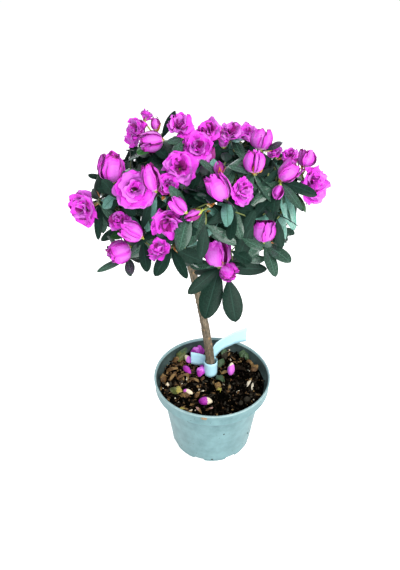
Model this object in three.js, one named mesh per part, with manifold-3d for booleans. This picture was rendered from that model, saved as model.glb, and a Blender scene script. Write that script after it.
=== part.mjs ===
// Potted azalea grown as a small standard: one bare leaning stem with a flattened round head of
// leaf whorls and double magenta blooms, in a round nursery pot with a blank paper loop label.
// Millimetres, +Z up, origin at the middle of the pot's flat underside, the viewed side at -Y.

import * as THREE from 'three';
import { mergeVertices } from 'three/addons/utils/BufferGeometryUtils.js';
import Module from 'manifold-3d';

const wasm = await Module();
wasm.setup();

// Driving dimensions of the pot
const POT_HEIGHT = 100;
const RIM_RADIUS = 70;
const FOOT_RADIUS = 50.5;
const BODY_TOP_RADIUS = 60.6;
const COLLAR_HEIGHT = 15;
const COLLAR_FOOT_RADIUS = 69;
const WALL = 1.8;
const LEDGE_DROP = 3.5;
const LIP = 0.8;
const FLOOR = 2.4;
const POT_SIDES = 40;
const NOTCHES = 8;
const NOTCH_WIDTH = 12;
const NOTCH_HEIGHT = 3.6;
const NOTCH_DEPTH = 8;
const FIRST_NOTCH_BEARING = -108;

// Driving dimensions of the soil and the clearance that pieces keep from each other
const SOIL_LEVEL = 84;
const SOIL_BUMP = 1.3;
const SOIL_RINGS = [58, 49, 40, 31, 22, 13];
const FLAT_ROUND_STEM = 14;
const STEM_FADE = 10;
const FLAT_AT_WALL = 68;
const WALL_FADE = 8;
const GAP = 0.3;
const SMALLEST_EDGE = 0.04;

// Driving dimensions of the stem: foot, lean to the left and taper up to the fork
const STEM_FOOT = new THREE.Vector3(-0.9, 17, SOIL_LEVEL + GAP);
const FORK_HEIGHT = 264;
const STEM_LEAN = 24.6;
const LEAN_SPAN = 162;
const LEAN_POWER = 1.5;
const STEM_RADIUS = 5.3;
const FORK_RADIUS = 4.1;
const FLARE_RADIUS = 1.3;
const FLARE_HEIGHT = 9;
const STEM_SIDES = 9;
const STEM_STEPS = 14;
const BOUGH_RADIUS = 1.65;
const BOUGH_TAPER = 0.5;
const BOUGH_SHARE = 0.54;
const BOUGH_SIDES = 6;
const BOUGH_STEPS = 4;

// Driving dimensions of the head: a flattened ball of spray tips seen from the point EYE
const HEAD_CENTRE = new THREE.Vector3(-16.6, 16, 330);
const HEAD_AXES = new THREE.Vector3(118, 115, 70);
const EYE = new THREE.Vector3(-14.6, -454.1, 518);
const EYE_DIP = THREE.MathUtils.degToRad(32.64);
const SEED = 20259;

// Leaves and blooms: real sizes
const LEAF_LENGTH = 37;
const LEAF_WIDTH = 13.5;
const PEDICEL_LENGTH = 7;
const WHORL_LEAVES = 6;
const LEAF_THICKNESS = 1.1;
const LEAF_DROOP = 0.1;
const TWIG_RADIUS = 1.05;
const TWIG_STEPS = 3;
const STALK_STEPS = 4;
const STALK_RADIUS = 1.25;
const PEDICEL_RADIUS = 0.75;
const WHORL_RADIUS = 3.0;
const WHORL_DEPTH = 1.2;
const ROOT_OFFSET = 0.3;
const SPRAYS_ALL_ROUND = 62;
const SPRAY_SPACING = 25;
const SPRAY_LIFT = 0.35;
const LEAF_TRIES = [[0, 0], [0.3, 0.25], [-0.3, 0.3], [0.6, -0.2], [-0.6, 0.6]];
const VIEWED_SHARE = -0.08;
const LOWEST_BLOOM = -0.5;

// The head's outline as the viewer sees it, round a point below the head's centre: two half ellipses,
// inside which sprays sink their tips, and shares of it that free leaves and far blooms keep to
const OUTLINE_RIGHT = 106;
const OUTLINE_TOP = 60;
const OUTLINE_FOOT = 58;
const OUTLINE_LEVEL = -12;
const LEAF_OUTLINE = 1.15;
const BLOOM_OUTLINE = 0.87;
const TIP_REACH = 18;
const SINK_STEP = 0.04;
const SINK_TRIES = 9;
const DISC_SHARE = 0.46;
const DISC_MARGIN = 3.5;
const LEAF_POINTS = [0.3, 0.6, 0.95];
const BLOOM_SIZES = { open: [20, 35], half: [26, 20], bud: [18, 12] };
const BLOOM_TRIES = [1, 0.88, 0.76, 0.64];
const BLOOM_DEALS = [
  { below: 0.42, kinds: ['open'] }, { below: 0.58, kinds: ['open', 'half'] },
  { below: 0.8, kinds: ['half'] }, { below: 0.9, kinds: ['bud'] }, { below: 1.1, kinds: [] },
];

// Label: a paper strip looped round the stem's foot
const LOOP_RADIUS = 8.3;
const LABEL_HEIGHT = 20.7;
const LABEL_THICKNESS = 0.5;
const LOOP_SIDES = 20;
const STRIP_STEPS = 8;

// Stations of the label's flap, as x, the distance behind the loop, and the heights of the lower and
// upper edge above those of the loop; and of its tail, as x, y and the heights of both edges
const FLAP = [[2, 0, 0, 0], [-8, 1, 1.5, 0.5], [-17, 3, 3, 2], [-26, 4, 4.5, 3]];
const TAIL = [[4, 26.9, 101, 122], [13, 34, 108, 126], [24, 40, 110, 129], [34, 46, 110, 130],
  [45, 50, 109, 131]];
const TAIL_START = [-3, 90, 106];

const COLOURS = {
  pot: 0x97c0c4,
  soil: 0x1c1612,
  bark: 0x7d6e5a,
  leaf: 0x2c5a42,
  label: 0xcfe8f2,
};

const UP = new THREE.Vector3(0, 0, 1);
const VIEW_RIGHT = new THREE.Vector3(1, 0, 0);
const VIEW_UP = new THREE.Vector3(0, Math.sin(EYE_DIP), Math.cos(EYE_DIP));
const GOLDEN_ANGLE = Math.PI * (3 - Math.sqrt(5));

// The masses: name, bearing from +X in degrees, height of the direction, reach of the hub in shares
const MASSES = [
  { name: 'front', bearing: -92, rise: -0.12, hub: 0.56, base: 252 },
  { name: 'front_right', bearing: -36, rise: -0.12, hub: 0.56, base: 259 },
  { name: 'back_right', bearing: 24, rise: -0.12, hub: 0.56, base: 251 },
  { name: 'back', bearing: 86, rise: -0.12, hub: 0.56, base: 258 },
  { name: 'back_left', bearing: 148, rise: -0.12, hub: 0.56, base: 250 },
  { name: 'front_left', bearing: -152, rise: -0.12, hub: 0.56, base: 257 },
  { name: 'top_front', bearing: -62, rise: 0.95, hub: 0.42, base: 263.2 },
  { name: 'top_right', bearing: 28, rise: 0.95, hub: 0.42, base: 262.4 },
  { name: 'top_back', bearing: 118, rise: 0.95, hub: 0.42, base: 263.6 },
  { name: 'top_left', bearing: -154, rise: 0.95, hub: 0.42, base: 263.0 },
];

// Sprays on the viewed side. 'at' is the whorl, as millimetres right and up of the head's centre on
// the plane through it that the viewer faces, and 'sink' its depth below the head's surface in
// shares. A bloom is kind, right, up, length, width, turn in degrees clockwise from straight up, and
// the share by which it turns to the viewer. A leaf is right, up of its tip, width, and 1 where the
// tip comes forward or -1 where it goes back.
const FRONT_SPRAYS = [
  { at: [-37, 49], whorl: 5, blooms: [
    ['open', -61, 58, 18, 31, -60, 0.45], ['half', -47, 47, 24, 17, -100, 0.1],
    ['open', -51, 73, 10, 15, 24, 0.1], ['bud', -42, 65, 14, 9, -6, 0.1]],
    leaves: [[-24, 78, 10, 1], [-60, 38, 13, 1]] },
  { at: [-10, 52], whorl: 4, blooms: [
    ['open', -18, 64, 19, 28, 6, 0.6], ['open', 0, 42, 20, 34, 35, 0.7]],
    leaves: [[-30, 48, 9, 1]] },
  { at: [-16, 22], sink: 0.22, whorl: 4, blooms: [['open', -19, 22, 19, 35, -25, 0.8]], leaves: [] },
  { at: [-30, 1], sink: 0.2, whorl: 4, blooms: [['open', -31, 5, 15, 24, 170, 0.6]], leaves: [] },
  { at: [-82, 8], sink: 0.2, whorl: 5, blooms: [['half', -87, 22, 30, 27, -4, 0.3]], leaves: [] },
  { at: [-60, -2], sink: 0.16, whorl: 4, blooms: [['open', -64, 0, 24, 41, -12, 0.9]], leaves: [] },
  { at: [-42, -1], whorl: 4, blooms: [['half', -47, 12, 28, 17, -20, 0.25]], leaves: [] },
  { at: [-98, -11], whorl: 5, blooms: [['open', -114, -18, 20, 38, -100, 0.5]],
    leaves: [[-101, -48, 9, 1], [-108, 4, 12, -1], [-84, -36, 10, 1]] },
  { at: [-55, -51], whorl: 5, blooms: [
    ['half', -67, -42, 25, 18, -62, 0.15], ['open', -78, -31, 15, 22, -20, 0.6]],
    leaves: [[-52, -78, 13, 1]] },
  { at: [-70, -68], whorl: 5, blooms: [['half', -79, -62, 24, 20, -112, 0.2]],
    leaves: [[-99, -80, 8, 1], [-68, -82, 11, 1], [-92, -56, 8, -1]] },
  { at: [-30, -14], sink: 0.2, whorl: 3, blooms: [['open', -30, -33, 22, 35, 172, 0.5]], leaves: [] },
  { at: [-27, -58], whorl: 4, blooms: [['open', -38, -60, 16, 24, -30, 0.5]],
    leaves: [[-12, -86, 11, 1], [-42, -84, 14, 1]] },
  { at: [-9, -22], whorl: 4, blooms: [['half', -20, -16, 21, 13, -48, 0.15]],
    leaves: [[-26, 2, 12, 1]] },
  { at: [8, -19], whorl: 3, blooms: [['bud', -5, -26, 18, 9, -118, 0.1]], leaves: [] },
  { at: [14, 54], sink: 0.2, whorl: 4, blooms: [['open', 11, 57, 16, 29, -14, 0.55]],
    leaves: [[17, 48, 10, 1]] },
  { at: [34, 52], sink: 0.2, whorl: 4, blooms: [
    ['open', 33, 57, 15, 28, 2, 0.5], ['bud', 25, 48, 13, 10, 0, 0.2]],
    leaves: [[44, 34, 12, 1], [41, 50, 12, 1]] },
  { at: [50, 50], sink: 0.25, whorl: 3, blooms: [['open', 50, 55, 14, 25, 16, 0.5]], leaves: [] },
  { at: [64, 38], whorl: 3, blooms: [['half', 63, 50, 21, 19, 4, 0.15]], leaves: [[82, 48, 9, 1]] },
  { at: [56, 15], whorl: 4, blooms: [['half', 56, 28, 23, 18.5, 0, 0.2]], leaves: [[36, 26, 10, 1]] },
  { at: [28, -9], whorl: 4, blooms: [['half', 20, 3, 30, 21, -34, 0.3], ['open', 44, -1.5, 17, 31, 82, 0.5]],
    leaves: [[-2, -6, 14, 1], [44, -46, 14, 1], [30, -30, 13, 1]] },
  { at: [20, 14], sink: 0.18, whorl: 3, blooms: [['bud', 21, 21, 14, 9, -10, 0.1]],
    leaves: [[8, 30, 11, 1]] },
  { at: [76, 30], sink: 0.25, whorl: 3, blooms: [['open', 77, 38, 12, 16, 0, 0.5]],
    leaves: [[64, 18, 10, 1]] },
  { at: [81, 8], whorl: 3, blooms: [
    ['half', 91, 18, 24, 19, 46, 0.3], ['bud', 80, -3, 15, 10, -165, 0.1],
    ['open', 92, 33, 12, 18, -10, 0.6]],
    leaves: [[97, -40, 15, 1], [104, -19, 11, 1], [119, -2, 15, 1], [49, -1, 11, 1], [54, -13, 11, 1],
      [73, -30, 12, 1]] },
  { at: [104, 16], sink: 0.1, whorl: 3, blooms: [
    ['half', 108, 31, 18, 17, 8, 0.2], ['open', 115, 4, 19, 40, 84, 0.5]], leaves: [] },
  { at: [66, -54], whorl: 4, blooms: [['half', 65.5, -41, 23, 24, 0, 0.3]],
    leaves: [[78, -85, 13, 1], [91, -69, 15, 1], [92, -44, 7, -1]] },
  { at: [21, -78], whorl: 2, blooms: [
    ['half', 21, -62, 30, 24, -14, 0.2], ['half', 31, -82, 18, 17, 120, 0.3]],
    leaves: [[7, -129, 24, 1], [-10, -104, 14, 1], [-8, -83, 9, -1], [68, -68, 13, 1],
      [69, -79, 15, 1]] },
  { at: [30, -88], whorl: 0, blooms: [], leaves: [[38, -132, 22, 1]] },
];

// One closed solid from a three.js geometry, whose shared corners are merged first
function solidOf(geometry) {
  geometry.deleteAttribute('normal');
  geometry.deleteAttribute('uv');
  const merged = mergeVertices(geometry, 1e-4);
  return new wasm.Manifold(new wasm.Mesh({
    numProp: 3,
    vertProperties: new Float32Array(merged.attributes.position.array),
    triVerts: new Uint32Array(merged.index.array),
  }));
}

// The largest body of a solid, without loose scraps and without the shells of sealed hollows
function largestBody(solid) {
  return solid.decompose().sort((a, b) => b.volume() - a.volume())[0];
}

// The three.js geometry of a finished solid
function geometryOf(solid) {
  const mesh = solid.getMesh();
  const geometry = new THREE.BufferGeometry();
  geometry.setAttribute('position', new THREE.BufferAttribute(mesh.vertProperties, 3));
  geometry.setIndex(new THREE.BufferAttribute(mesh.triVerts, 1));
  geometry.computeVertexNormals();
  return geometry;
}

// Moves each corner of a geometry by a rule
function reshape(geometry, rule) {
  const position = geometry.attributes.position;
  const corner = new THREE.Vector3();
  for (let index = 0; index < position.count; index += 1) {
    corner.fromBufferAttribute(position, index);
    const moved = rule(corner);
    position.setXYZ(index, moved.x, moved.y, moved.z);
  }
  return geometry;
}

// A tapering limb along a curve, round or three-sided, from a cylinder that is bent along it
function limb(curve, radiusAt, sides, steps) {
  const frames = curve.computeFrenetFrames(steps, false);
  const points = curve.getSpacedPoints(steps);
  const geometry = new THREE.CylinderGeometry(1, 1, 1, sides, steps);
  return solidOf(reshape(geometry, (corner) => {
    const step = Math.round((corner.y + 0.5) * steps);
    const radius = radiusAt(step / steps);
    return points[step].clone()
      .addScaledVector(frames.normals[step], -corner.x * radius)
      .addScaledVector(frames.binormals[step], corner.z * radius);
  }));
}

// A body turned about its axis, whose base is at 'foot' and whose axis points along 'facing'
function turned(profile, sides, lobe, foot, facing) {
  const points = profile.map(([radius, height]) => new THREE.Vector2(radius, height));
  const turn = new THREE.Quaternion().setFromUnitVectors(new THREE.Vector3(0, 1, 0), facing);
  return solidOf(reshape(new THREE.LatheGeometry(points, sides), (corner) => {
    const side = Math.round((Math.atan2(corner.x, corner.z) / (2 * Math.PI)) * sides);
    const share = side % 2 === 0 ? 1 + lobe : 1 - lobe;
    return new THREE.Vector3(corner.x * share, corner.y, corner.z * share).applyQuaternion(turn).add(foot);
  }));
}

// A leaf of six faces: root, two widest corners and tip below, and a raised midrib above
function leafSolid(leaf) {
  const side = new THREE.Vector3().crossVectors(leaf.direction, leaf.normal);
  const place = (along, right, lift) => leaf.root.clone()
    .addScaledVector(leaf.direction, along * leaf.length)
    .addScaledVector(side, (right * leaf.width) / 2)
    .addScaledVector(leaf.normal, lift);
  const corners = [
    place(0, 0, 0), place(0.6, 1, 0), place(1, 0, -LEAF_DROOP * leaf.length),
    place(0.6, -1, 0), place(0.35, 0, LEAF_THICKNESS),
  ];
  const geometry = new THREE.BufferGeometry().setFromPoints(corners);
  geometry.setIndex([0, 1, 4, 1, 2, 4, 2, 3, 4, 3, 0, 4, 0, 2, 1, 0, 3, 2]);
  return solidOf(geometry);
}

// A bloom as a solid: an open double bloom is a lobed dome on a funnel, a bud is a fluted egg
function bloomSolid(bloom) {
  const r = bloom.width / 2;
  const h = bloom.length;
  const open = [[0, 0], [r, 0.66 * h], [0.62 * r, 0.95 * h], [0, h]];
  const goblet = [[0, 0], [0.66 * r, 0.16 * h], [r, 0.48 * h], [0.74 * r, 0.86 * h], [0, h]];
  const bud = [[0, 0], [r, 0.4 * h], [0, h]];
  if (bloom.kind === 'open') return turned(open, 10, 0.09, bloom.foot, bloom.facing);
  if (bloom.kind === 'half') return turned(goblet, 6, 0.07, bloom.foot, bloom.facing);
  return turned(bud, 6, 0, bloom.foot, bloom.facing);
}

// Repeatable numbers from 0 to 1 that depend only on the seed
function seededNumbers(seed) {
  let state = seed >>> 0;
  return () => {
    state = (Math.imul(state, 1664525) + 1013904223) >>> 0;
    return state / 4294967296;
  };
}

// A point of the viewed plane, moved along the line of sight to a share of its distance
function sightPoint(right, up, share) {
  return HEAD_CENTRE.clone().sub(EYE)
    .addScaledVector(VIEW_RIGHT, right)
    .addScaledVector(VIEW_UP, up)
    .multiplyScalar(share)
    .add(EYE);
}

// The share of the distance at which a line of sight meets the head's surface, or comes closest
function sightShare(right, up, shell) {
  const ray = sightPoint(right, up, 1).sub(EYE).divide(HEAD_AXES);
  const centre = HEAD_CENTRE.clone().sub(EYE).divide(HEAD_AXES);
  const a = ray.dot(ray);
  const b = ray.dot(centre);
  const c = centre.dot(centre) - shell * shell;
  const inside = b * b - a * c;
  return inside > 0 ? (b - Math.sqrt(inside)) / a : b / a;
}

// Where the line of sight to a point crosses the viewed plane, and the share of its distance
function seenAt(point) {
  const look = new THREE.Vector3().crossVectors(VIEW_UP, VIEW_RIGHT);
  const centre = HEAD_CENTRE.clone().sub(EYE);
  const ray = point.clone().sub(EYE);
  const share = ray.dot(look) / centre.dot(look);
  const flat = ray.divideScalar(share).sub(centre);
  return { right: flat.dot(VIEW_RIGHT), up: flat.dot(VIEW_UP), share };
}

// How far out a point shows: 0 in the middle of the head's outline and 1 on it
function outlineShare(point) {
  const { right, up } = seenAt(point);
  const rise = up - OUTLINE_LEVEL;
  return Math.hypot(right / OUTLINE_RIGHT, rise / (rise > 0 ? OUTLINE_TOP : OUTLINE_FOOT));
}

// The outward direction of the head's surface at a point
function outwardAt(point) {
  return point.clone().sub(HEAD_CENTRE).divide(HEAD_AXES).divide(HEAD_AXES).normalize();
}

// The stem's middle line at a height
function stemAt(height) {
  const share = Math.max(height - SOIL_LEVEL, 0) / LEAN_SPAN;
  return new THREE.Vector3(STEM_FOOT.x - STEM_LEAN * share ** LEAN_POWER, STEM_FOOT.y, height);
}

// A unit vector across a given one, turned about it by an angle
function across(axis, angle) {
  const helper = Math.abs(axis.z) < 0.9 ? UP : VIEW_RIGHT;
  const first = new THREE.Vector3().crossVectors(helper, axis).normalize();
  const second = new THREE.Vector3().crossVectors(axis, first);
  return first.multiplyScalar(Math.cos(angle)).addScaledVector(second, Math.sin(angle));
}

// A leaf that leaves the whorl along a direction, its upper side turned to 'face'
function leafFrom(base, direction, face, length, width) {
  const normal = face.clone().addScaledVector(direction, -face.dot(direction)).normalize();
  const root = base.clone().addScaledVector(direction, ROOT_OFFSET);
  return { root, direction, normal, length: length - ROOT_OFFSET, width };
}

// The leaves of a whorl: spaced by the golden angle about its axis, rising or drooping by turns
function whorlLeaves(base, axis, count, next) {
  const leaves = [];
  const start = next() * 2 * Math.PI;
  for (let index = 0; index < count; index += 1) {
    const tilt = -0.55 + 0.8 * next();
    const length = LEAF_LENGTH * (0.8 + 0.3 * next());
    const width = LEAF_WIDTH * (0.85 + 0.35 * next());
    const direction = across(axis, start + index * GOLDEN_ANGLE)
      .multiplyScalar(Math.cos(tilt))
      .addScaledVector(axis, Math.sin(tilt));
    direction.z -= 0.3;
    direction.normalize();
    const face = axis.clone().addScaledVector(UP, 0.5).normalize();
    leaves.push(leafFrom(base, direction, face, length, width));
  }
  return leaves;
}

// A spray of the viewed side: its whorl, blooms and leaves from the named places
function frontSpray(row, index) {
  const next = seededNumbers(SEED + 101 * index);
  const share = sightShare(row.at[0], row.at[1], 1 - (row.sink ?? 0.14));
  const base = sightPoint(row.at[0], row.at[1], share);
  const axis = outwardAt(base).addScaledVector(UP, SPRAY_LIFT).normalize();
  const blooms = row.blooms.map(([kind, right, up, length, width, turn, toward]) => {
    const reach = 0.5 * length * share + PEDICEL_LENGTH;
    const level = sightPoint(right, up, share);
    const sideways = level.distanceTo(base);
    const forward = Math.sqrt(Math.max(reach * reach - sideways * sideways, 0)) * (toward < 0 ? -0.4 : 1);
    const middle = level.clone().addScaledVector(EYE.clone().sub(level).normalize(), forward);
    const angle = THREE.MathUtils.degToRad(turn);
    const facing = VIEW_RIGHT.clone().multiplyScalar(Math.sin(angle))
      .addScaledVector(VIEW_UP, Math.cos(angle))
      .multiplyScalar(1 - Math.abs(toward))
      .addScaledVector(EYE.clone().sub(level).normalize(), toward)
      .normalize();
    const foot = middle.clone().addScaledVector(facing, -0.5 * length * share);
    return { kind, foot, facing, length: length * share, width: width * share };
  });
  const placed = row.leaves.map(([right, up, width, forward]) => {
    const level = sightPoint(right, up, share);
    const sideways = level.distanceTo(base);
    const length = Math.max(LEAF_LENGTH, sideways + 0.5);
    const depth = forward * Math.sqrt(length * length - sideways * sideways) * 0.8;
    const tip = level.addScaledVector(EYE.clone().sub(level).normalize(), depth);
    const direction = tip.clone().sub(base);
    const reach = direction.length();
    direction.normalize();
    const face = EYE.clone().sub(tip).normalize().addScaledVector(UP, 0.6).addScaledVector(axis, 0.4);
    return { ...leafFrom(base, direction, face, reach, width * share), placed: true };
  });
  return { base, axis, blooms, leaves: [...placed, ...whorlLeaves(base, axis, row.whorl, next)] };
}

// Sprays all round the head by a golden spiral, left out where a named spray already stands
function roundSprays(taken) {
  const sprays = [];
  for (let index = 0; index < SPRAYS_ALL_ROUND; index += 1) {
    const next = seededNumbers(SEED + 7001 + 137 * index);
    const level = 0.94 - (1.5 * (index + 0.5)) / SPRAYS_ALL_ROUND + 0.08 * (next() - 0.5);
    const bearing = index * GOLDEN_ANGLE + 0.3 * (next() - 0.5);
    const ring = Math.sqrt(Math.max(1 - level * level, 0));
    const shell = 0.86 + 0.06 * next();
    const place = new THREE.Vector3(Math.cos(bearing) * ring, Math.sin(bearing) * ring, level);
    const outer = place.clone().multiplyScalar(shell).multiply(HEAD_AXES).add(HEAD_CENTRE);
    const view = outwardAt(outer).dot(EYE.clone().sub(outer).normalize());
    const { base, axis, tipShare } = withinOutline(place, shell);
    const kindDraw = next();
    const near = taken.some((spray) => spray.base.distanceTo(base) < SPRAY_SPACING
      || spray.blooms.some((bloom) => bloom.foot.distanceTo(base) < SPRAY_SPACING * 0.8));
    if (near) continue;
    const leafy = level < LOWEST_BLOOM || view > VIEWED_SHARE || tipShare > BLOOM_OUTLINE;
    const blooms = leafy ? [] : roundBlooms(base, axis, kindDraw, next);
    const leaves = whorlLeaves(base, axis, WHORL_LEAVES + (leafy ? 1 : 0), next);
    sprays.push({ base, axis, blooms, leaves });
  }
  return sprays;
}

// A spray's base and axis, sunk step by step until its tip is inside the viewed outline
function withinOutline(place, shell) {
  let found;
  for (let step = 0; step < SINK_TRIES; step += 1) {
    const base = place.clone().multiplyScalar(shell - SINK_STEP * step)
      .multiply(HEAD_AXES)
      .add(HEAD_CENTRE);
    const axis = outwardAt(base).addScaledVector(UP, SPRAY_LIFT).normalize();
    const tipShare = outlineShare(base.clone().addScaledVector(axis, TIP_REACH));
    found = { base, axis, tipShare };
    if (tipShare < 1) break;
  }
  return found;
}

// The blooms of a spray that the view leaves open, by the shares of BLOOM_DEALS
function roundBlooms(base, axis, draw, next) {
  const { kinds } = BLOOM_DEALS.find((deal) => draw < deal.below);
  const start = next() * 2 * Math.PI;
  return kinds.map((kind, index) => {
    const spread = kinds.length > 1 ? 0.75 : 0.25;
    const facing = axis.clone()
      .addScaledVector(across(axis, start + index * Math.PI), spread)
      .normalize();
    const size = 0.88 + 0.2 * next();
    const [length, width] = BLOOM_SIZES[kind].map((measure) => measure * size);
    return { kind, foot: base.clone().addScaledVector(facing, PEDICEL_LENGTH), facing, length, width };
  });
}

// The place and direction of each mass: where its bough ends and where its twigs start
function massPlan(mass) {
  const bearing = THREE.MathUtils.degToRad(mass.bearing);
  const direction = new THREE.Vector3(Math.cos(bearing), Math.sin(bearing), mass.rise).normalize();
  const hub = direction.clone().multiplyScalar(mass.hub).multiply(HEAD_AXES).add(HEAD_CENTRE);
  const start = stemAt(mass.base);
  const lift = start.clone().lerp(hub, 0.45);
  lift.z -= mass.rise > 0 ? 2 : 8;
  const curve = new THREE.QuadraticBezierCurve3(start, lift, hub);
  return { ...mass, direction, hub, curve };
}

// The part of a curve between two shares of its length
function stretch(curve, from, to) {
  const points = [];
  const steps = 8;
  for (let index = 0; index <= steps; index += 1) {
    points.push(curve.getPointAt(from + ((to - from) * index) / steps));
  }
  return new THREE.CatmullRomCurve3(points);
}

// True where a new solid comes closer than the clearance to any solid of a list
function touches(solid, others) {
  const box = solid.boundingBox();
  return others.some((other) => {
    for (let side = 0; side < 3; side += 1) {
      if (box.min[side] > other.box.max[side] + GAP) return false;
      if (box.max[side] < other.box.min[side] - GAP) return false;
    }
    return solid.minGap(other.solid, GAP * 1.2) < GAP;
  });
}

// Pot: a turned shell with a stepped collar, a thick lip and drain notches in its foot
function buildPot() {
  const collarFoot = POT_HEIGHT - COLLAR_HEIGHT;
  const profile = [
    [0, 0], [FOOT_RADIUS - 1, 0], [FOOT_RADIUS, 1.4], [BODY_TOP_RADIUS, collarFoot - LEDGE_DROP],
    [COLLAR_FOOT_RADIUS - 0.7, collarFoot - 0.6], [COLLAR_FOOT_RADIUS, collarFoot + 0.6],
    [RIM_RADIUS - 0.3, POT_HEIGHT - 2.4], [RIM_RADIUS, POT_HEIGHT - LIP],
    [RIM_RADIUS - LIP, POT_HEIGHT], [RIM_RADIUS - WALL - LIP, POT_HEIGHT - LIP],
    [COLLAR_FOOT_RADIUS - WALL, collarFoot + WALL],
    [BODY_TOP_RADIUS - WALL, collarFoot + WALL - LEDGE_DROP],
    [FOOT_RADIUS - WALL + 0.3, FLOOR], [0, FLOOR],
  ];
  let pot = turnedUpright(profile);
  for (let index = 0; index < NOTCHES; index += 1) {
    const bearing = THREE.MathUtils.degToRad(FIRST_NOTCH_BEARING + (360 * index) / NOTCHES);
    const box = new THREE.BoxGeometry(NOTCH_DEPTH, NOTCH_WIDTH, 2 * NOTCH_HEIGHT);
    box.translate(FOOT_RADIUS - NOTCH_DEPTH / 2 + 2, 0, 0).rotateZ(bearing);
    pot = pot.subtract(solidOf(box));
  }
  return pot;
}

// A profile of radius and height turned about the pot's axis
function turnedUpright(profile, lift = () => 0) {
  const points = profile.map(([radius, height]) => new THREE.Vector2(radius, height));
  const geometry = new THREE.LatheGeometry(points, POT_SIDES).rotateX(Math.PI / 2);
  return solidOf(reshape(geometry, (corner) => {
    const raised = corner.z > SOIL_LEVEL - 1 ? lift(corner) : 0;
    return new THREE.Vector3(corner.x, corner.y, corner.z + raised);
  }));
}

// Height of the soil above its level: low lumps that fade at the stem's foot and at the wall
function soilLift(corner) {
  const radius = Math.hypot(corner.x, corner.y);
  const fromStem = Math.hypot(corner.x - STEM_FOOT.x, corner.y - STEM_FOOT.y);
  const fromWall = Math.min((FLAT_AT_WALL - radius) / WALL_FADE, 1);
  const fade = Math.min(Math.max((fromStem - FLAT_ROUND_STEM) / STEM_FADE, 0), 1) * fromWall;
  const lumps = Math.sin(0.21 * corner.x + 1.1) * Math.cos(0.17 * corner.y - 0.4)
    + 0.6 * Math.sin(0.43 * corner.x - 0.37 * corner.y);
  return SOIL_BUMP * lumps * Math.max(fade, 0);
}

// Soil: fills the pot up to the ledge of its collar, clear of the wall
function buildSoil() {
  const ledge = POT_HEIGHT - COLLAR_HEIGHT - LEDGE_DROP + 2 * WALL;
  const clear = 2 * GAP;
  const edge = COLLAR_FOOT_RADIUS - WALL - clear;
  const rings = SOIL_RINGS.map((radius) => [radius, SOIL_LEVEL]);
  const profile = [
    [0, FLOOR + clear], [FOOT_RADIUS - WALL - clear, FLOOR + clear],
    [BODY_TOP_RADIUS - WALL - clear, ledge - 1], [edge - 1, ledge + 0.6], [edge, SOIL_LEVEL],
    ...rings, [0, SOIL_LEVEL],
  ];
  return turnedUpright(profile, soilLift);
}

// Stem: leaning, tapering and flared at its foot, cut flat at the soil and ended at the fork; this is
// its middle line
function stemCurve() {
  const points = [];
  const steps = 12;
  for (let index = 0; index <= steps; index += 1) {
    points.push(stemAt(STEM_FOOT.z + ((FORK_HEIGHT - STEM_FOOT.z) * index) / steps));
  }
  return new THREE.CatmullRomCurve3(points);
}

// The stem's radius: a straight taper with a flare that dies away above the soil
function stemRadius(share) {
  const height = share * (FORK_HEIGHT - STEM_FOOT.z);
  const flare = FLARE_RADIUS * Math.exp(-height / FLARE_HEIGHT);
  return STEM_RADIUS + (FORK_RADIUS - STEM_RADIUS) * share + flare;
}

// The stem, or with some extra radius the room that other pieces leave for it
function buildStem(extra) {
  const stem = limb(stemCurve(), (share) => stemRadius(share) + extra, STEM_SIDES, STEM_STEPS);
  const cutter = new THREE.BoxGeometry(60, 60, 40).translate(STEM_FOOT.x, STEM_FOOT.y, STEM_FOOT.z - 20);
  return extra > 0 ? stem : stem.subtract(solidOf(cutter));
}

// Label: a loop round the stem's foot, a short flap to the left and a long tail to the right
function buildLabel() {
  const low = STEM_FOOT.z;
  const centre = new THREE.Vector3(STEM_FOOT.x - 0.4, STEM_FOOT.y + 0.4, 0);
  const inner = LOOP_RADIUS - LABEL_THICKNESS;
  const ring = new THREE.LatheGeometry([
    new THREE.Vector2(LOOP_RADIUS, low), new THREE.Vector2(LOOP_RADIUS, low + LABEL_HEIGHT),
    new THREE.Vector2(inner, low + LABEL_HEIGHT), new THREE.Vector2(inner, low),
    new THREE.Vector2(LOOP_RADIUS, low)], LOOP_SIDES).rotateX(Math.PI / 2).translate(centre.x, centre.y, 0);
  const back = centre.y + LOOP_RADIUS - LABEL_THICKNESS / 2;
  const flap = paperStrip(FLAP.map(([x, behind, lower, upper]) => [
    x, back + behind, low + lower, low + LABEL_HEIGHT + upper]));
  const [startX, startLow, startHigh] = TAIL_START;
  const tail = paperStrip([[startX, back, startLow, startHigh], ...TAIL]);
  return solidOf(ring).add(flap).add(tail);
}

// A strip of paper through stations of x, y and the heights of its lower and upper edge
function paperStrip(stations) {
  const lower = new THREE.CatmullRomCurve3(stations.map(([x, y, low]) => new THREE.Vector3(x, y, low)));
  const upper = new THREE.CatmullRomCurve3(stations.map(([x, y, , high]) => new THREE.Vector3(x, y, high)));
  const geometry = new THREE.BoxGeometry(1, 1, 1, STRIP_STEPS, 1, 1);
  return solidOf(reshape(geometry, (corner) => {
    const share = corner.x + 0.5;
    const point = lower.getPoint(share).lerp(upper.getPoint(share), corner.z + 0.5);
    const along = lower.getTangent(share);
    const outward = new THREE.Vector3(-along.y, along.x, 0).normalize();
    return point.addScaledVector(outward, corner.y * LABEL_THICKNESS);
  }));
}

// The mass whose direction from the head's centre lies nearest to a point
function massOf(point, plans) {
  const direction = point.clone().sub(HEAD_CENTRE).divide(HEAD_AXES).normalize();
  let best = plans[0];
  for (const plan of plans) {
    if (direction.dot(plan.direction) > direction.dot(best.direction)) best = plan;
  }
  return best;
}

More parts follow.
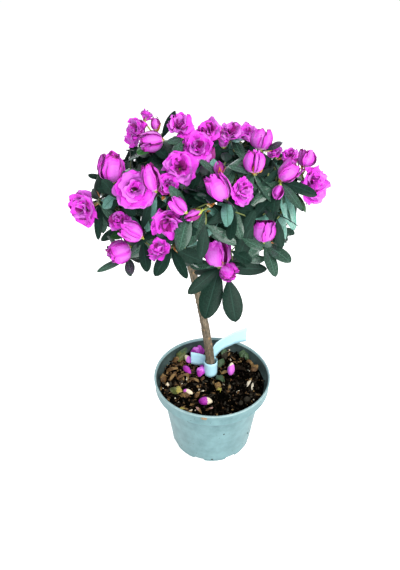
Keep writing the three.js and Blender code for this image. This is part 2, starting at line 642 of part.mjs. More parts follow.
// A twig from the wood of its mass to a spray, arriving along the spray's axis
function twigCurve(plan, spray) {
  let from = plan.joints[0];
  let bestCost = Infinity;
  for (const joint of plan.joints) {
    const gap = spray.base.clone().sub(joint);
    const cost = gap.length() * (1.35 - 0.35 * gap.clone().normalize().dot(plan.direction));
    if (cost < bestCost && gap.length() > 6) {
      bestCost = cost;
      from = joint;
    }
  }
  const bend = spray.base.clone().addScaledVector(spray.axis, -0.4 * bestCost);
  const end = spray.base.clone().addScaledVector(spray.axis, WHORL_DEPTH);
  return new THREE.QuadraticBezierCurve3(from.clone(), bend, end);
}

const group = new THREE.Group();

// Puts a solid into the group as a named node
function addNode(name, solid, colour, roughness) {
  const material = new THREE.MeshStandardMaterial({ color: colour, roughness, metalness: 0 });
  const mesh = new THREE.Mesh(geometryOf(solid), material);
  mesh.name = name;
  group.add(mesh);
}

// The wood stands first: the stem, and each mass's bough and stalk
const stem = buildStem(0);
const limbs = [{ solid: stem, box: stem.boundingBox(), room: buildStem(GAP) }];
const plans = MASSES.map(massPlan);

for (const plan of plans) {
  const middle = stretch(plan.curve, 0, BOUGH_SHARE);
  const thick = (extra) => limb(middle, (share) => BOUGH_RADIUS - BOUGH_TAPER * share + extra,
    BOUGH_SIDES, BOUGH_STEPS);
  const trimmed = limbs.reduce((solid, other) => solid.subtract(other.room), thick(0));
  plan.bough = largestBody(trimmed);
  limbs.push({ solid: plan.bough, box: plan.bough.boundingBox(), room: thick(GAP) });
  const stalkStart = BOUGH_SHARE + (GAP + 0.02) / plan.curve.getLength();
  const stalk = stretch(plan.curve, stalkStart, 1);
  const stalkSolid = limb(stalk, () => STALK_RADIUS, 3, STALK_STEPS);
  plan.parts = [{ solid: stalkSolid, box: stalkSolid.boundingBox() }];
  plan.joints = stalk.getSpacedPoints(STALK_STEPS).slice(2);
}

// The solids that a mass must stay clear of: the limbs and the other masses
function neighbours(plan) {
  return [...limbs, ...plans.filter((other) => other !== plan).flatMap((other) => other.parts)];
}

// Keeps a solid in its mass where it stays clear of the limbs and of the other masses
function keep(plan, solid, spray, alsoClear = []) {
  if (touches(solid, [...neighbours(plan), ...alsoClear])) return false;
  plan.parts.push({ solid, box: solid.boundingBox(), spray });
  return true;
}

// The sprays join the mass they point from, the nearest first, each by a twig from its wood
const named = FRONT_SPRAYS.map(frontSpray);
const sprays = [...named, ...roundSprays(named)];
const byReach = (a, b) => a.base.distanceTo(a.plan.hub) - b.base.distanceTo(b.plan.hub);
for (const spray of sprays) {
  spray.plan = massOf(spray.base, plans);
}
for (const spray of [...sprays].sort(byReach)) {
  const curve = twigCurve(spray.plan, spray);
  const twig = limb(curve, (share) => (share === 1 ? WHORL_RADIUS : TWIG_RADIUS), 3, TWIG_STEPS);
  spray.stands = keep(spray.plan, twig, spray);
  if (spray.stands) spray.plan.joints.push(...curve.getSpacedPoints(TWIG_STEPS).slice(1, -1));
}

// A leaf swung about its spray's axis and dropped towards the wood, to find room
function swung(leaf, axis, turn, drop) {
  const direction = leaf.direction.clone()
    .applyAxisAngle(axis, turn)
    .addScaledVector(axis, -drop)
    .normalize();
  const base = leaf.root.clone().addScaledVector(leaf.direction, -ROOT_OFFSET);
  return leafFrom(base, direction, leaf.normal, leaf.length + ROOT_OFFSET, leaf.width);
}

// The blooms of the viewed side as discs on the viewed plane
const discs = named.flatMap((spray) => spray.blooms).map((bloom) => {
  const middle = bloom.foot.clone().addScaledVector(bloom.facing, 0.5 * bloom.length);
  return { ...seenAt(middle), radius: DISC_SHARE * Math.max(bloom.length, bloom.width) };
});

// True where a leaf stands between the viewer and a named bloom, or reaches out of the outline
function strays(leaf) {
  const points = LEAF_POINTS.map((along) => leaf.root.clone()
    .addScaledVector(leaf.direction, along * leaf.length));
  const hides = points.map(seenAt).some((seen) => discs.some((disc) => seen.share < disc.share
    && Math.hypot(seen.right - disc.right, seen.up - disc.up) < disc.radius + DISC_MARGIN));
  return hides || outlineShare(points[points.length - 1]) > LEAF_OUTLINE;
}

// The pedicel of a bloom, from the whorl into the bloom
function pedicel(spray, bloom) {
  const inside = bloom.foot.clone().addScaledVector(bloom.facing, 0.3 * bloom.length);
  const bend = bloom.foot.clone().addScaledVector(bloom.facing, -3);
  const curve = new THREE.QuadraticBezierCurve3(spray.base.clone(), bend, inside);
  return limb(curve, () => PEDICEL_RADIUS, 3, 1);
}

// Blooms come before leaves, and one that finds no room at its full size is tried smaller
for (const spray of sprays.filter((one) => one.stands)) {
  for (const bloom of spray.blooms) {
    const stalk = pedicel(spray, bloom);
    if (!keep(spray.plan, stalk, spray)) continue;
    for (const shrink of BLOOM_TRIES) {
      const smaller = { ...bloom, length: bloom.length * shrink, width: bloom.width * shrink };
      if (keep(spray.plan, bloomSolid(smaller), spray)) break;
    }
  }
}

// Leaves fill the room that is left, swung a little where their own place is taken
for (const spray of sprays.filter((one) => one.stands)) {
  for (const leaf of spray.leaves) {
    const others = spray.plan.parts.filter((part) => part.spray !== spray);
    for (const [turn, drop] of LEAF_TRIES) {
      const tried = swung(leaf, spray.axis, turn, drop);
      if (!leaf.placed && strays(tried)) continue;
      if (keep(spray.plan, leafSolid(tried), spray, others)) break;
    }
  }
}

addNode('pot', buildPot(), COLOURS.pot, 0.5);
addNode('soil', buildSoil(), COLOURS.soil, 0.95);
addNode('trunk', stem, COLOURS.bark, 0.85);
addNode('stem_label', buildLabel(), COLOURS.label, 0.6);
for (const plan of plans) {
  addNode(`bough_${plan.name}`, plan.bough, COLOURS.bark, 0.85);
}
for (const plan of plans) {
  const fused = wasm.Manifold.union(plan.parts.map((part) => part.solid)).simplify(SMALLEST_EDGE);
  addNode(`foliage_${plan.name}`, largestBody(fused), COLOURS.leaf, 0.45);
}

export default group;
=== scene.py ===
"""Potted azalea standard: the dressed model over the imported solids.

Sizes are worked out in millimetres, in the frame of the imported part: +Z up, the origin at the middle
of the pot's underside, the viewed side at -Y. Meshes are written in metres.
"""

import logging
import math
from collections.abc import Iterable
from dataclasses import dataclass, field
from enum import Enum, IntEnum

import bmesh
import bpy
import numpy as np
from numpy.random import Generator
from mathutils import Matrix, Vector


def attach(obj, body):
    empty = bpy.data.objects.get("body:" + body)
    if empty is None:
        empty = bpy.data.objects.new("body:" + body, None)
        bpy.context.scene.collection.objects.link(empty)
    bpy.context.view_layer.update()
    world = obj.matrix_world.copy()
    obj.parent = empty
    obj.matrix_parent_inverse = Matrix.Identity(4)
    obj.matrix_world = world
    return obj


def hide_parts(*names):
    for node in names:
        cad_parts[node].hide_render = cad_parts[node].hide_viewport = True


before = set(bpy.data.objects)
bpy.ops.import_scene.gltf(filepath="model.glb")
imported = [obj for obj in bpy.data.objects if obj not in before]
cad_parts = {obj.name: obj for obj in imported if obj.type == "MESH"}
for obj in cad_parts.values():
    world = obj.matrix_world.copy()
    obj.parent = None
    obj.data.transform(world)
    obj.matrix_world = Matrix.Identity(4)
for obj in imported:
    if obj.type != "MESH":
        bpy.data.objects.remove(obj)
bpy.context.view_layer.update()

Array = np.ndarray
Material = bpy.types.Material
Socket = bpy.types.NodeSocket
Span = tuple[float, float]
Colour = tuple[float, ...]

log = logging.getLogger("azalea")

METRES = 0.001
BODY = "root"
GOLDEN_ANGLE = math.pi * (3 - math.sqrt(5))
PEBBLE_UNREST = 0.22
UP = np.array([0.0, 0.0, 1.0])
VIEW_RIGHT = np.array([1.0, 0.0, 0.0])

# The viewer's place and the head that the camera was fitted to
EYE = np.array([-14.6, -454.1, 518.0])
EYE_DIP = math.radians(32.64)
VIEW_UP = np.array([0.0, math.sin(EYE_DIP), math.cos(EYE_DIP)])
LENS = 31.58
SENSOR = 36.0
HEAD_CENTRE = np.array([-16.6, 16.0, 330.0])
HEAD_AXES = np.array([118.0, 115.0, 70.0])

# Pot, soil and stem: the source's driving dimensions
POT_HEIGHT = 100.0
RIM_RADIUS = 70.0
FOOT_RADIUS = 50.5
BODY_TOP_RADIUS = 60.6
COLLAR_HEIGHT = 15.0
COLLAR_FOOT_RADIUS = 69.0
WALL = 1.8
LEDGE_DROP = 3.5
FLOOR = 2.4
SOIL_LEVEL = 84.0
SOIL_BUMP = 1.3
GAP = 0.3
STEM_FOOT = np.array([-0.9, 17.0, SOIL_LEVEL + GAP])
FORK_HEIGHT = 264.0
STEM_LEAN = 24.6
LEAN_SPAN = 162.0
LEAN_POWER = 1.5
STEM_RADIUS = 5.3
FORK_RADIUS = 4.1
FLARE_RADIUS = 1.3
FLARE_HEIGHT = 9.0
BOUGH_RADIUS = 1.65
BOUGH_TAPER = 0.5
BOUGH_SHARE = 0.54
LOOP_RADIUS = 8.3
LABEL_HEIGHT = 20.7
LABEL_THICKNESS = 0.5

# Finishes
SHEEN_ROUGHNESS = 0.4
GRAIN_DETAIL = 3.0
GLOSS_SPREAD = 0.08
MOTTLE_STOPS = (0.34, 0.66)
MIX_ENTRIES = (0, 6, 7)
MIXED_COLOUR = 2

# Sprays: the source's growth rule
SEED = 20259
LEAF_TONE_SEED = SEED + 605
LEAF_LENGTH = 37.0
LEAF_WIDTH = 13.5
PEDICEL_LENGTH = 7.0
WHORL_LEAVES = 6
STALK_STEPS = 4
TWIG_STEPS = 3
WHORL_DEPTH = 1.2
SPRAYS_ALL_ROUND = 62
SPRAY_SPACING = 25.0
VIEWED_SHARE = -0.08
LOWEST_BLOOM = -0.5
TIP_REACH = 18.0
OUTLINE_RIGHT = 106.0
OUTLINE_TOP = 60.0
OUTLINE_FOOT = 58.0
OUTLINE_LEVEL = -12.0
LEAF_OUTLINE = 1.15
BLOOM_OUTLINE = 0.87
DISC_SHARE = 0.46
DISC_MARGIN = 3.5
LEAF_POINTS = np.array([0.3, 0.6, 0.95])
GROWING_UP = 0.35
SINK_STEP = 0.04
SINK_TRIES = 9
LEAF_TRIES = ((0.0, 0.0), (0.3, 0.25), (-0.3, 0.3), (0.6, -0.2), (-0.6, 0.6))


class Tone(IntEnum):
    """The leaf colours, in the order of LEAF_FINISHES: four for the blades and two for their ribs."""

    DARK = 0
    MID = 1
    # Pale teal: partly the leaves' own tone, partly painted sheen
    COOL_SHEEN = 2
    FRESH = 3
    RIB_DARK = 4
    RIB_LIGHT = 5


class BloomKind(Enum):
    """How far a bloom has opened."""

    OPEN = "open"
    HALF = "half"
    BUD = "bud"


OPEN, HALF, BUD = BloomKind
DARK, MID, COOL_SHEEN, FRESH = Tone.DARK, Tone.MID, Tone.COOL_SHEEN, Tone.FRESH

# What is dealt out where a draw is below a share, and the blooms' lengths and widths
TONE_DEALS = ((0.42, DARK), (0.84, MID), (0.975, COOL_SHEEN), (1.1, FRESH))
BLOOM_SIZES = {OPEN: (20.0, 35.0), HALF: (26.0, 20.0), BUD: (18.0, 12.0)}
BLOOM_DEALS = ((0.42, (OPEN,)), (0.58, (OPEN, HALF)), (0.8, (HALF,)), (0.9, (BUD,)), (1.1, ()))

# The masses: name, bearing from +X in degrees, rise, reach of the hub in shares, height of its foot
MASSES = (
    ("front", -92, -0.12, 0.56, 252.0),
    ("front_right", -36, -0.12, 0.56, 259.0),
    ("back_right", 24, -0.12, 0.56, 251.0),
    ("back", 86, -0.12, 0.56, 258.0),
    ("back_left", 148, -0.12, 0.56, 250.0),
    ("front_left", -152, -0.12, 0.56, 257.0),
    ("top_front", -62, 0.95, 0.42, 263.2),
    ("top_right", 28, 0.95, 0.42, 262.4),
    ("top_back", 118, 0.95, 0.42, 263.6),
    ("top_left", -154, 0.95, 0.42, 263.0),
)

# Sprays on the viewed side, as in the source. 'at' is the whorl in millimetres right and up of the
# head's centre on the plane that faces the viewer, then its depth below the head's surface in shares
# and its free leaves. A bloom is kind, right, up, length, width, turn clockwise from straight up, and
# the share by which it turns to the viewer. A leaf is right, up of its tip, width, 1 or -1 where the
# tip comes forward or goes back, and its tone.
FRONT_SPRAYS = (
    ((-37, 49), 0.14, 5,
     ((OPEN, -61, 58, 18, 31, -60, 0.45), (HALF, -47, 47, 24, 17, -100, 0.1),
      (OPEN, -51, 73, 10, 15, 24, 0.1),
      (BUD, -42, 65, 14, 9, -6, 0.1)),
     ((-24, 78, 10, 1, DARK), (-60, 38, 13, 1, FRESH))),
    ((-10, 52), 0.14, 4,
     ((OPEN, -18, 64, 19, 28, 6, 0.6), (OPEN, 0, 42, 20, 34, 35, 0.7)), ((-30, 48, 9, 1, MID),)),
    ((-16, 22), 0.22, 4, ((OPEN, -19, 22, 19, 35, -25, 0.8),), ()),
    ((-30, 1), 0.2, 4, ((OPEN, -31, 5, 15, 24, 170, 0.6),), ()),
    ((-82, 8), 0.2, 5, ((HALF, -87, 22, 30, 27, -4, 0.3),), ()),
    ((-60, -2), 0.16, 4, ((OPEN, -64, 0, 24, 41, -12, 0.9),), ()),
    ((-42, -1), 0.14, 4, ((HALF, -47, 12, 28, 17, -20, 0.25),), ()),
    ((-98, -11), 0.14, 5, ((OPEN, -114, -18, 20, 38, -100, 0.5),),
     ((-101, -48, 9, 1, DARK), (-108, 4, 12, -1, DARK), (-84, -36, 10, 1, DARK))),
    ((-55, -51), 0.14, 5,
     ((HALF, -67, -42, 25, 18, -62, 0.15), (OPEN, -78, -31, 15, 22, -20, 0.6)),
     ((-52, -78, 13, 1, DARK),)),
    ((-70, -68), 0.14, 5, ((HALF, -79, -62, 24, 20, -112, 0.2),),
     ((-99, -80, 8, 1, MID), (-68, -82, 11, 1, MID), (-92, -56, 8, -1, DARK))),
    ((-30, -14), 0.2, 3, ((OPEN, -30, -33, 22, 35, 172, 0.5),), ()),
    ((-27, -58), 0.14, 4, ((OPEN, -38, -60, 16, 24, -30, 0.5),),
     ((-12, -86, 11, 1, DARK), (-42, -84, 14, 1, DARK))),
    ((-9, -22), 0.14, 4, ((HALF, -20, -16, 21, 13, -48, 0.15),), ((-26, 2, 12, 1, MID),)),
    ((8, -19), 0.14, 3, ((BUD, -5, -26, 18, 9, -118, 0.1),), ()),
    ((14, 54), 0.2, 4, ((OPEN, 11, 57, 16, 29, -14, 0.55),), ((17, 48, 10, 1, DARK),)),
    ((34, 52), 0.2, 4, ((OPEN, 33, 57, 15, 28, 2, 0.5), (BUD, 25, 48, 13, 10, 0, 0.2)),
     ((44, 34, 12, 1, MID), (41, 50, 12, 1, COOL_SHEEN))),
    ((50, 50), 0.25, 3, ((OPEN, 50, 55, 14, 25, 16, 0.5),), ()),
    ((64, 38), 0.14, 3, ((HALF, 63, 50, 21, 19, 4, 0.15),), ((82, 48, 9, 1, MID),)),
    ((56, 15), 0.14, 4, ((HALF, 56, 28, 23, 18.5, 0, 0.2),), ((36, 26, 10, 1, MID),)),
    ((28, -9), 0.14, 4, ((HALF, 20, 3, 30, 21, -34, 0.3), (OPEN, 44, -1.5, 17, 31, 82, 0.5)),
     ((-2, -6, 14, 1, DARK), (44, -46, 14, 1, MID), (30, -30, 13, 1, COOL_SHEEN))),
    ((20, 14), 0.18, 3, ((BUD, 21, 21, 14, 9, -10, 0.1),), ((8, 30, 11, 1, MID),)),
    ((76, 30), 0.25, 3, ((OPEN, 77, 38, 12, 16, 0, 0.5),), ((64, 18, 10, 1, MID),)),
    ((81, 8), 0.14, 3,
     ((HALF, 91, 18, 24, 19, 46, 0.3), (BUD, 80, -3, 15, 10, -165, 0.1),
      (OPEN, 92, 33, 12, 18, -10, 0.6)),
     ((97, -40, 15, 1, COOL_SHEEN), (104, -19, 11, 1, MID), (119, -2, 15, 1, DARK),
      (49, -1, 11, 1, MID), (54, -13, 11, 1, MID), (73, -30, 12, 1, DARK))),
    ((104, 16), 0.1, 3, ((HALF, 108, 31, 18, 17, 8, 0.2), (OPEN, 115, 4, 19, 40, 84, 0.5)), ()),
    ((66, -54), 0.14, 4, ((HALF, 65.5, -41, 23, 24, 0, 0.3),),
     ((78, -85, 13, 1, MID), (91, -69, 15, 1, MID), (92, -44, 7, -1, MID))),
    ((21, -78), 0.14, 2, ((HALF, 21, -62, 30, 24, -14, 0.2), (HALF, 31, -82, 18, 17, 120, 0.3)),
     ((7, -129, 24, 1, DARK), (-10, -104, 14, 1, DARK),
      (-8, -83, 9, -1, DARK), (68, -68, 13, 1, MID), (69, -79, 15, 1, DARK))),
    ((30, -88), 0.14, 0, (), ((38, -132, 22, 1, DARK),)),
)


def unit(vectors: Array) -> Array:
    """Each vector divided by its length."""
    return vectors / np.maximum(np.linalg.norm(vectors, axis=-1, keepdims=True), 1e-12)


def smooth(share: Array) -> Array:
    """A soft step from 0 to 1: 3t^2 - 2t^3 of the share held within 0 and 1."""
    held = np.clip(share, 0.0, 1.0)
    return held * held * (3.0 - 2.0 * held)


def turns(count: int) -> Array:
    """Angles evenly round a circle, from 0."""
    return np.arange(count) * (2 * math.pi / count)


def linear(red: int, green: int, blue: int) -> Colour:
    """A screen colour as the renderer's linear colour.

    Args:
        red: from 0 to 255.
        green: the same.
        blue: the same.

    Returns:
        Red, green, blue and 1.
    """
    def channel(value: int) -> float:
        """One channel with the screen's curve undone."""
        share = value / 255.0
        return share / 12.92 if share <= 0.04045 else ((share + 0.055) / 1.055) ** 2.4
    return (channel(red), channel(green), channel(blue), 1.0)


class Draws:
    """Repeatable numbers from 0 to 1 that depend only on the seed, as in the source."""

    def __init__(self, seed: int) -> None:
        """Starts the row of numbers at a seed."""
        self.state = seed & 0xFFFFFFFF

    def next(self) -> float:
        """The next number: state * 1664525 + 1013904223, kept to 32 bits, as a share."""
        self.state = (self.state * 1664525 + 1013904223) & 0xFFFFFFFF
        return self.state / 4294967296.0


def ripples(points: Array, pitch: float, seed: int, waves: int = 9) -> Array:
    """A cloudy number from about -1 to 1 at each point.

    The mean of sines along scattered directions, with wave lengths near the pitch.

    Args:
        points: places, (..., 3), in millimetres.
        pitch: typical wave length in millimetres.
        seed: chooses the directions.
        waves: how many sines are added.

    Returns:
        The number at each point, (...).
    """
    rng = np.random.default_rng(seed)
    directions = unit(rng.normal(size=(waves, 3)))
    lengths = pitch * rng.uniform(0.6, 1.5, waves)
    phases = rng.uniform(0.0, 2 * math.pi, waves)
    angles = points @ (directions * (2 * math.pi / lengths)[:, None]).T + phases
    return np.sin(angles).sum(axis=-1) * math.sqrt(2.0 / waves) * 0.6


class Batch:
    """Grids of points that are joined into one mesh, with a finish for each of their faces."""

    def __init__(self) -> None:
        """Starts with nothing in it."""
        self.points, self.quads, self.corners = [], [], []
        self.quad_finishes, self.corner_finishes = [], []
        self.count = 0

    def add(self, grids: Array, finish: Array | int = 0, ring: bool = False,
            lids: bool = False) -> None:
        """Adds grids of points as faces.

        Args:
            grids: (n, rows, columns, 3) in millimetres.
            finish: material index, one number or an array that spreads over (n, rows-1, columns).
            ring: the last column joins the first.
            lids: the first and last row of a ring are closed by fans to their middle.
        """
        number, rows, columns, _ = grids.shape
        index = np.arange(number * rows * columns).reshape(number, rows, columns) + self.count
        after = np.roll(index, -1, axis=2)
        last = columns if ring else columns - 1
        low, high = index[:, :-1, :last], index[:, 1:, :last]
        low_next, high_next = after[:, :-1, :last], after[:, 1:, :last]
        quads = np.stack((low, low_next, high_next, high), axis=-1)
        self.quads.append(quads.reshape(-1, 4))
        spread = np.broadcast_to(np.asarray(finish), quads.shape[:-1])
        self.quad_finishes.append(spread.reshape(-1))
        self.points.append(grids.reshape(-1, 3))
        self.count += number * rows * columns
        if lids:
            for row in (0, -1):
                middle = np.arange(number) + self.count
                ends = np.broadcast_to(middle[:, None], index[:, row].shape)
                here, there = index[:, row], after[:, row]
                fan = (ends, there, here) if row == 0 else (ends, here, there)
                self.corners.append(np.stack(fan, axis=-1).reshape(-1, 3))
                self.corner_finishes.append(spread[:, row].reshape(-1))
                self.points.append(grids[:, row].mean(axis=1))
                self.count += number

    def triangles(self) -> int:
        """How many triangles the mesh has."""
        return 2 * sum(map(len, self.quads)) + sum(map(len, self.corners))

    def piece(self, name: str, materials: list[Material], slot: str,
              nodes: tuple[str, ...] = (), weld: bool = False) -> bpy.types.Object:
        """Makes the mesh a piece that rides on the part's body.

        Args:
            name: the piece's name.
            materials: in the order of the finish numbers.
            slot: the record's material slot; not used.
            nodes: the nodes that the piece stands for.
            weld: merges points that lie on each other, to close a seam.

        Returns:
            The new object.
        """
        quads = np.concatenate(self.quads)
        corners = np.concatenate(self.corners) if self.corners else np.zeros((0, 3), int)
        starts = np.concatenate([
            np.arange(len(quads)) * 4, len(quads) * 4 + np.arange(len(corners)) * 3])
        loops = np.concatenate([quads.reshape(-1), corners.reshape(-1)])
        finishes = np.concatenate(self.quad_finishes + self.corner_finishes)
        mesh = bpy.data.meshes.new(name)
        mesh.vertices.add(self.count)
        places = (np.concatenate(self.points) * METRES).astype(np.float32)
        mesh.vertices.foreach_set("co", places.reshape(-1))
        mesh.loops.add(len(loops))
        mesh.loops.foreach_set("vertex_index", loops.astype(np.int32))
        mesh.polygons.add(len(starts))
        mesh.polygons.foreach_set("loop_start", starts.astype(np.int32))
        for material in materials:
            mesh.materials.append(material)
        mesh.polygons.foreach_set("material_index", finishes.astype(np.int32))
        mesh.polygons.foreach_set("use_smooth", np.ones(len(starts), bool))
        mesh.update(calc_edges=True)
        if weld:
            work = bmesh.new()
            work.from_mesh(mesh)
            bmesh.ops.remove_doubles(work, verts=work.verts, dist=1e-6)
            work.to_mesh(mesh)
            work.free()
        piece = bpy.data.objects.new(name, mesh)
        bpy.context.scene.collection.objects.link(piece)
        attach(piece, BODY)
        if nodes:
            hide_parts(*nodes)
        log.info("%s: %d triangles", name, self.triangles())
        return piece


def tubes(paths: Array, radii: Array, sides: int) -> Array:
    """Round tubes: each path point plus radius * (cos a * first + sin a * second).

    Args:
        paths: (n, steps, 3), the middle lines.
        radii: (n, steps) or (n, steps, sides).
        sides: points round the tube.

    Returns:
        Grids (n, steps, sides, 3).
    """
    along = unit(np.gradient(paths, axis=1))
    mean = unit(paths[:, -1] - paths[:, 0])
    helper = np.where(np.abs(mean[:, 2:]) < 0.8, UP, VIEW_RIGHT)[:, None, :]
    first = unit(np.cross(np.broadcast_to(helper, along.shape), along))
    second = np.cross(along, first)
    angles = turns(sides)
    circle = (np.cos(angles)[:, None] * first[:, :, None, :]
              + np.sin(angles)[:, None] * second[:, :, None, :])
    reach = radii[..., None] if radii.ndim == 2 else radii
    return paths[:, :, None, :] + circle * reach[..., None]


def frames_of(bearings: Array, tilts: Array, rolls: Array) -> Array:
    """Three axes for each piece that lies about.

    Args:
        bearings: of the first axes.
        tilts: of the first axes.
        rolls: turns of the others about them.

    Returns:
        Along, aside and up, (n, 3, 3).
    """
    along = np.stack([np.cos(bearings) * np.cos(tilts), np.sin(bearings) * np.cos(tilts), np.sin(tilts)], -1)
    aside = np.stack([-np.sin(bearings), np.cos(bearings), np.zeros_like(bearings)], -1)
    upward = np.cross(along, aside)
    turn, lift = np.cos(rolls)[:, None], np.sin(rolls)[:, None]
    return np.stack([along, aside * turn + upward * lift, upward * turn - aside * lift], axis=1)


def pebbles(places: Array, sizes: Array, frames: Array, rng: Generator) -> Array:
    """Small closed lumps: four rings of six points on a flattened ball, each point pushed about.

    Args:
        places: (n, 3), their middles.
        sizes: (n, 3), along their three axes.
        frames: (n, 3, 3), their axes.
        rng: pushes the points.

    Returns:
        Grids (n, 4, 6, 3).
    """
    number = len(places)
    level = np.array([-0.85, -0.35, 0.35, 0.85])[:, None]
    ring = np.array([0.55, 1.0, 1.0, 0.55])[:, None]
    angles = turns(6)
    ball = np.stack([ring * np.cos(angles), ring * np.sin(angles), level * np.ones(6)], axis=-1)
    ball = ball[None] * (1 + rng.uniform(-PEBBLE_UNREST, PEBBLE_UNREST, (number, 4, 6, 1)))
    local = ball * (sizes / 2)[:, None, None, :]
    return places[:, None, None, :] + np.einsum("nrck,nkx->nrcx", local, frames)


def bezier(start: Array, bend: Array, end: Array, steps: int) -> Array:
    """Points of a bent line: (1-t)^2 * start + 2t(1-t) * bend + t^2 * end, evenly in t."""
    share = np.linspace(0.0, 1.0, steps)[:, None]
    return (1 - share) ** 2 * start + 2 * share * (1 - share) * bend + share ** 2 * end


def evenly(line: Array, shares: Array) -> Array:
    """Points of a line at shares of its length, by straight stretches between its points.

    Args:
        line: (steps, 3).
        shares: from 0 at its start to 1 at its end.

    Returns:
        A point for each share, (n, 3).
    """
    lengths = np.concatenate([[0.0], np.cumsum(np.linalg.norm(np.diff(line, axis=0), axis=1))])
    wanted = np.asarray(shares) * lengths[-1]
    return np.stack([np.interp(wanted, lengths, line[:, side]) for side in range(3)], axis=-1)


@dataclass
class Leaf:
    """A leaf: where it starts, its direction, the way its upper side faces, its size and tone."""

    root: Array
    direction: Array
    normal: Array
    length: float
    width: float
    tone: Tone


@dataclass
class Bloom:
    """A bloom: how far it is open, its foot, the way it faces, its size."""

    kind: BloomKind
    foot: Array
    facing: Array
    length: float
    width: float


@dataclass
class Spray:
    """The end of a twig: a whorl of leaves round a cluster of blooms."""

    base: Array
    axis: Array
    blooms: list[Bloom]
    leaves: list[Leaf]
    twig: Array = field(default_factory=lambda: np.zeros((0, 3)))


def measures(pieces: list[Leaf] | list[Bloom], name: str) -> Array:
    """One measure of each leaf or bloom, by its field's name."""
    return np.array([getattr(piece, name) for piece in pieces])


def to_eye(point: Array) -> Array:
    """The direction from a point to the viewer."""
    return unit(EYE - point)


def sight_point(right: float, up: float, share: float) -> Array:
    """A point of the viewed plane, moved along the line of sight to a share of its distance."""
    return (HEAD_CENTRE - EYE + VIEW_RIGHT * right + VIEW_UP * up) * share + EYE


def sight_share(right: float, up: float, shell: float) -> float:
    """The share of the distance at which a line of sight meets the head's surface.

    Divided by the head's axes, the surface is a ball, and the share is the smaller root of a
    quadratic, or the nearest approach where the line misses the ball.

    Args:
        right: place on the viewed plane.
        up: the same.
        shell: the surface's size, 1 for the head's own.

    Returns:
        The share.
    """
    ray = (sight_point(right, up, 1.0) - EYE) / HEAD_AXES
    centre = (HEAD_CENTRE - EYE) / HEAD_AXES
    a = ray @ ray
    b = ray @ centre
    inside = b * b - a * (centre @ centre - shell * shell)
    return (b - math.sqrt(inside)) / a if inside > 0 else b / a


def seen_at(points: Array) -> Array:
    """Where lines of sight to points cross the viewed plane, and the share of their distance.

    Args:
        points: (..., 3).

    Returns:
        Right, up and share in the last axis, (..., 3).
    """
    look = np.cross(VIEW_UP, VIEW_RIGHT)
    centre = HEAD_CENTRE - EYE
    share = ((points - EYE) @ look) / (centre @ look)
    flat = (points - EYE) / share[..., None] - centre
    return np.stack([flat @ VIEW_RIGHT, flat @ VIEW_UP, share], axis=-1)


def outline_share(point: Array) -> float:
    """How far out a point shows: 0 in the middle of the head's outline and 1 on it.

    The outline is half an ellipse above OUTLINE_LEVEL and half a flatter one below it.

    Args:
        point: in millimetres.

    Returns:
        The share.
    """
    right, up, _ = seen_at(point)
    rise = up - OUTLINE_LEVEL
    return math.hypot(right / OUTLINE_RIGHT, rise / (OUTLINE_TOP if rise > 0 else OUTLINE_FOOT))


def outward_at(point: Array) -> Array:
    """The outward direction of the head's surface at a point."""
    return unit((point - HEAD_CENTRE) / HEAD_AXES ** 2)


def stem_at(height: Array | float) -> Array:
    """The stem's middle line: its lean grows with the power LEAN_POWER of the height.

    Args:
        height: one, or several.

    Returns:
        A point for each.
    """
    rise = np.asarray(height, float)
    share = np.maximum(rise - SOIL_LEVEL, 0.0) / LEAN_SPAN
    across_x = STEM_FOOT[0] - STEM_LEAN * share ** LEAN_POWER
    return np.stack([across_x, np.full_like(rise, STEM_FOOT[1]), rise], axis=-1)


def across(axis: Array, angle: float) -> Array:
    """A unit vector across a given one.

    Args:
        axis: the given one.
        angle: its turn about the axis, in radians.

    Returns:
        The vector.
    """
    helper = UP if abs(axis[2]) < 0.9 else VIEW_RIGHT
    first = unit(np.cross(helper, axis))
    return first * math.cos(angle) + np.cross(axis, first) * math.sin(angle)


def leaf_from(base: Array, direction: Array, face: Array, length: float,
              width: float, tone: Tone) -> Leaf:
    """A leaf that leaves a whorl along a direction, its upper side turned to 'face'."""
    return Leaf(base, direction, unit(face - direction * (face @ direction)), length, width, tone)


@dataclass(frozen=True)
class LeafRule:
    """How the leaves of a whorl are dealt out: sizes, tilts in radians, and how far they sag.

    The share 'dark' of them is dark, as painted shade for leaves inside the head, and fewer than 'more'
    are added to their number.
    """

    length: float
    width: float
    shortest: float
    growth: float
    lowest: float
    swing: float
    sag: float
    dark: float = 0.0
    more: int = 0


SPRAY_LEAVES = LeafRule(LEAF_LENGTH, LEAF_WIDTH, 0.8, 0.3, -0.55, 0.8, 0.3)
# Side shoots' leaves stand inside the head: their dark share is painted shade
SHOOT_LEAVES = LeafRule(25.0, 9.5, 0.75, 0.45, -0.2, 0.9, 0.15, dark=0.6, more=3)


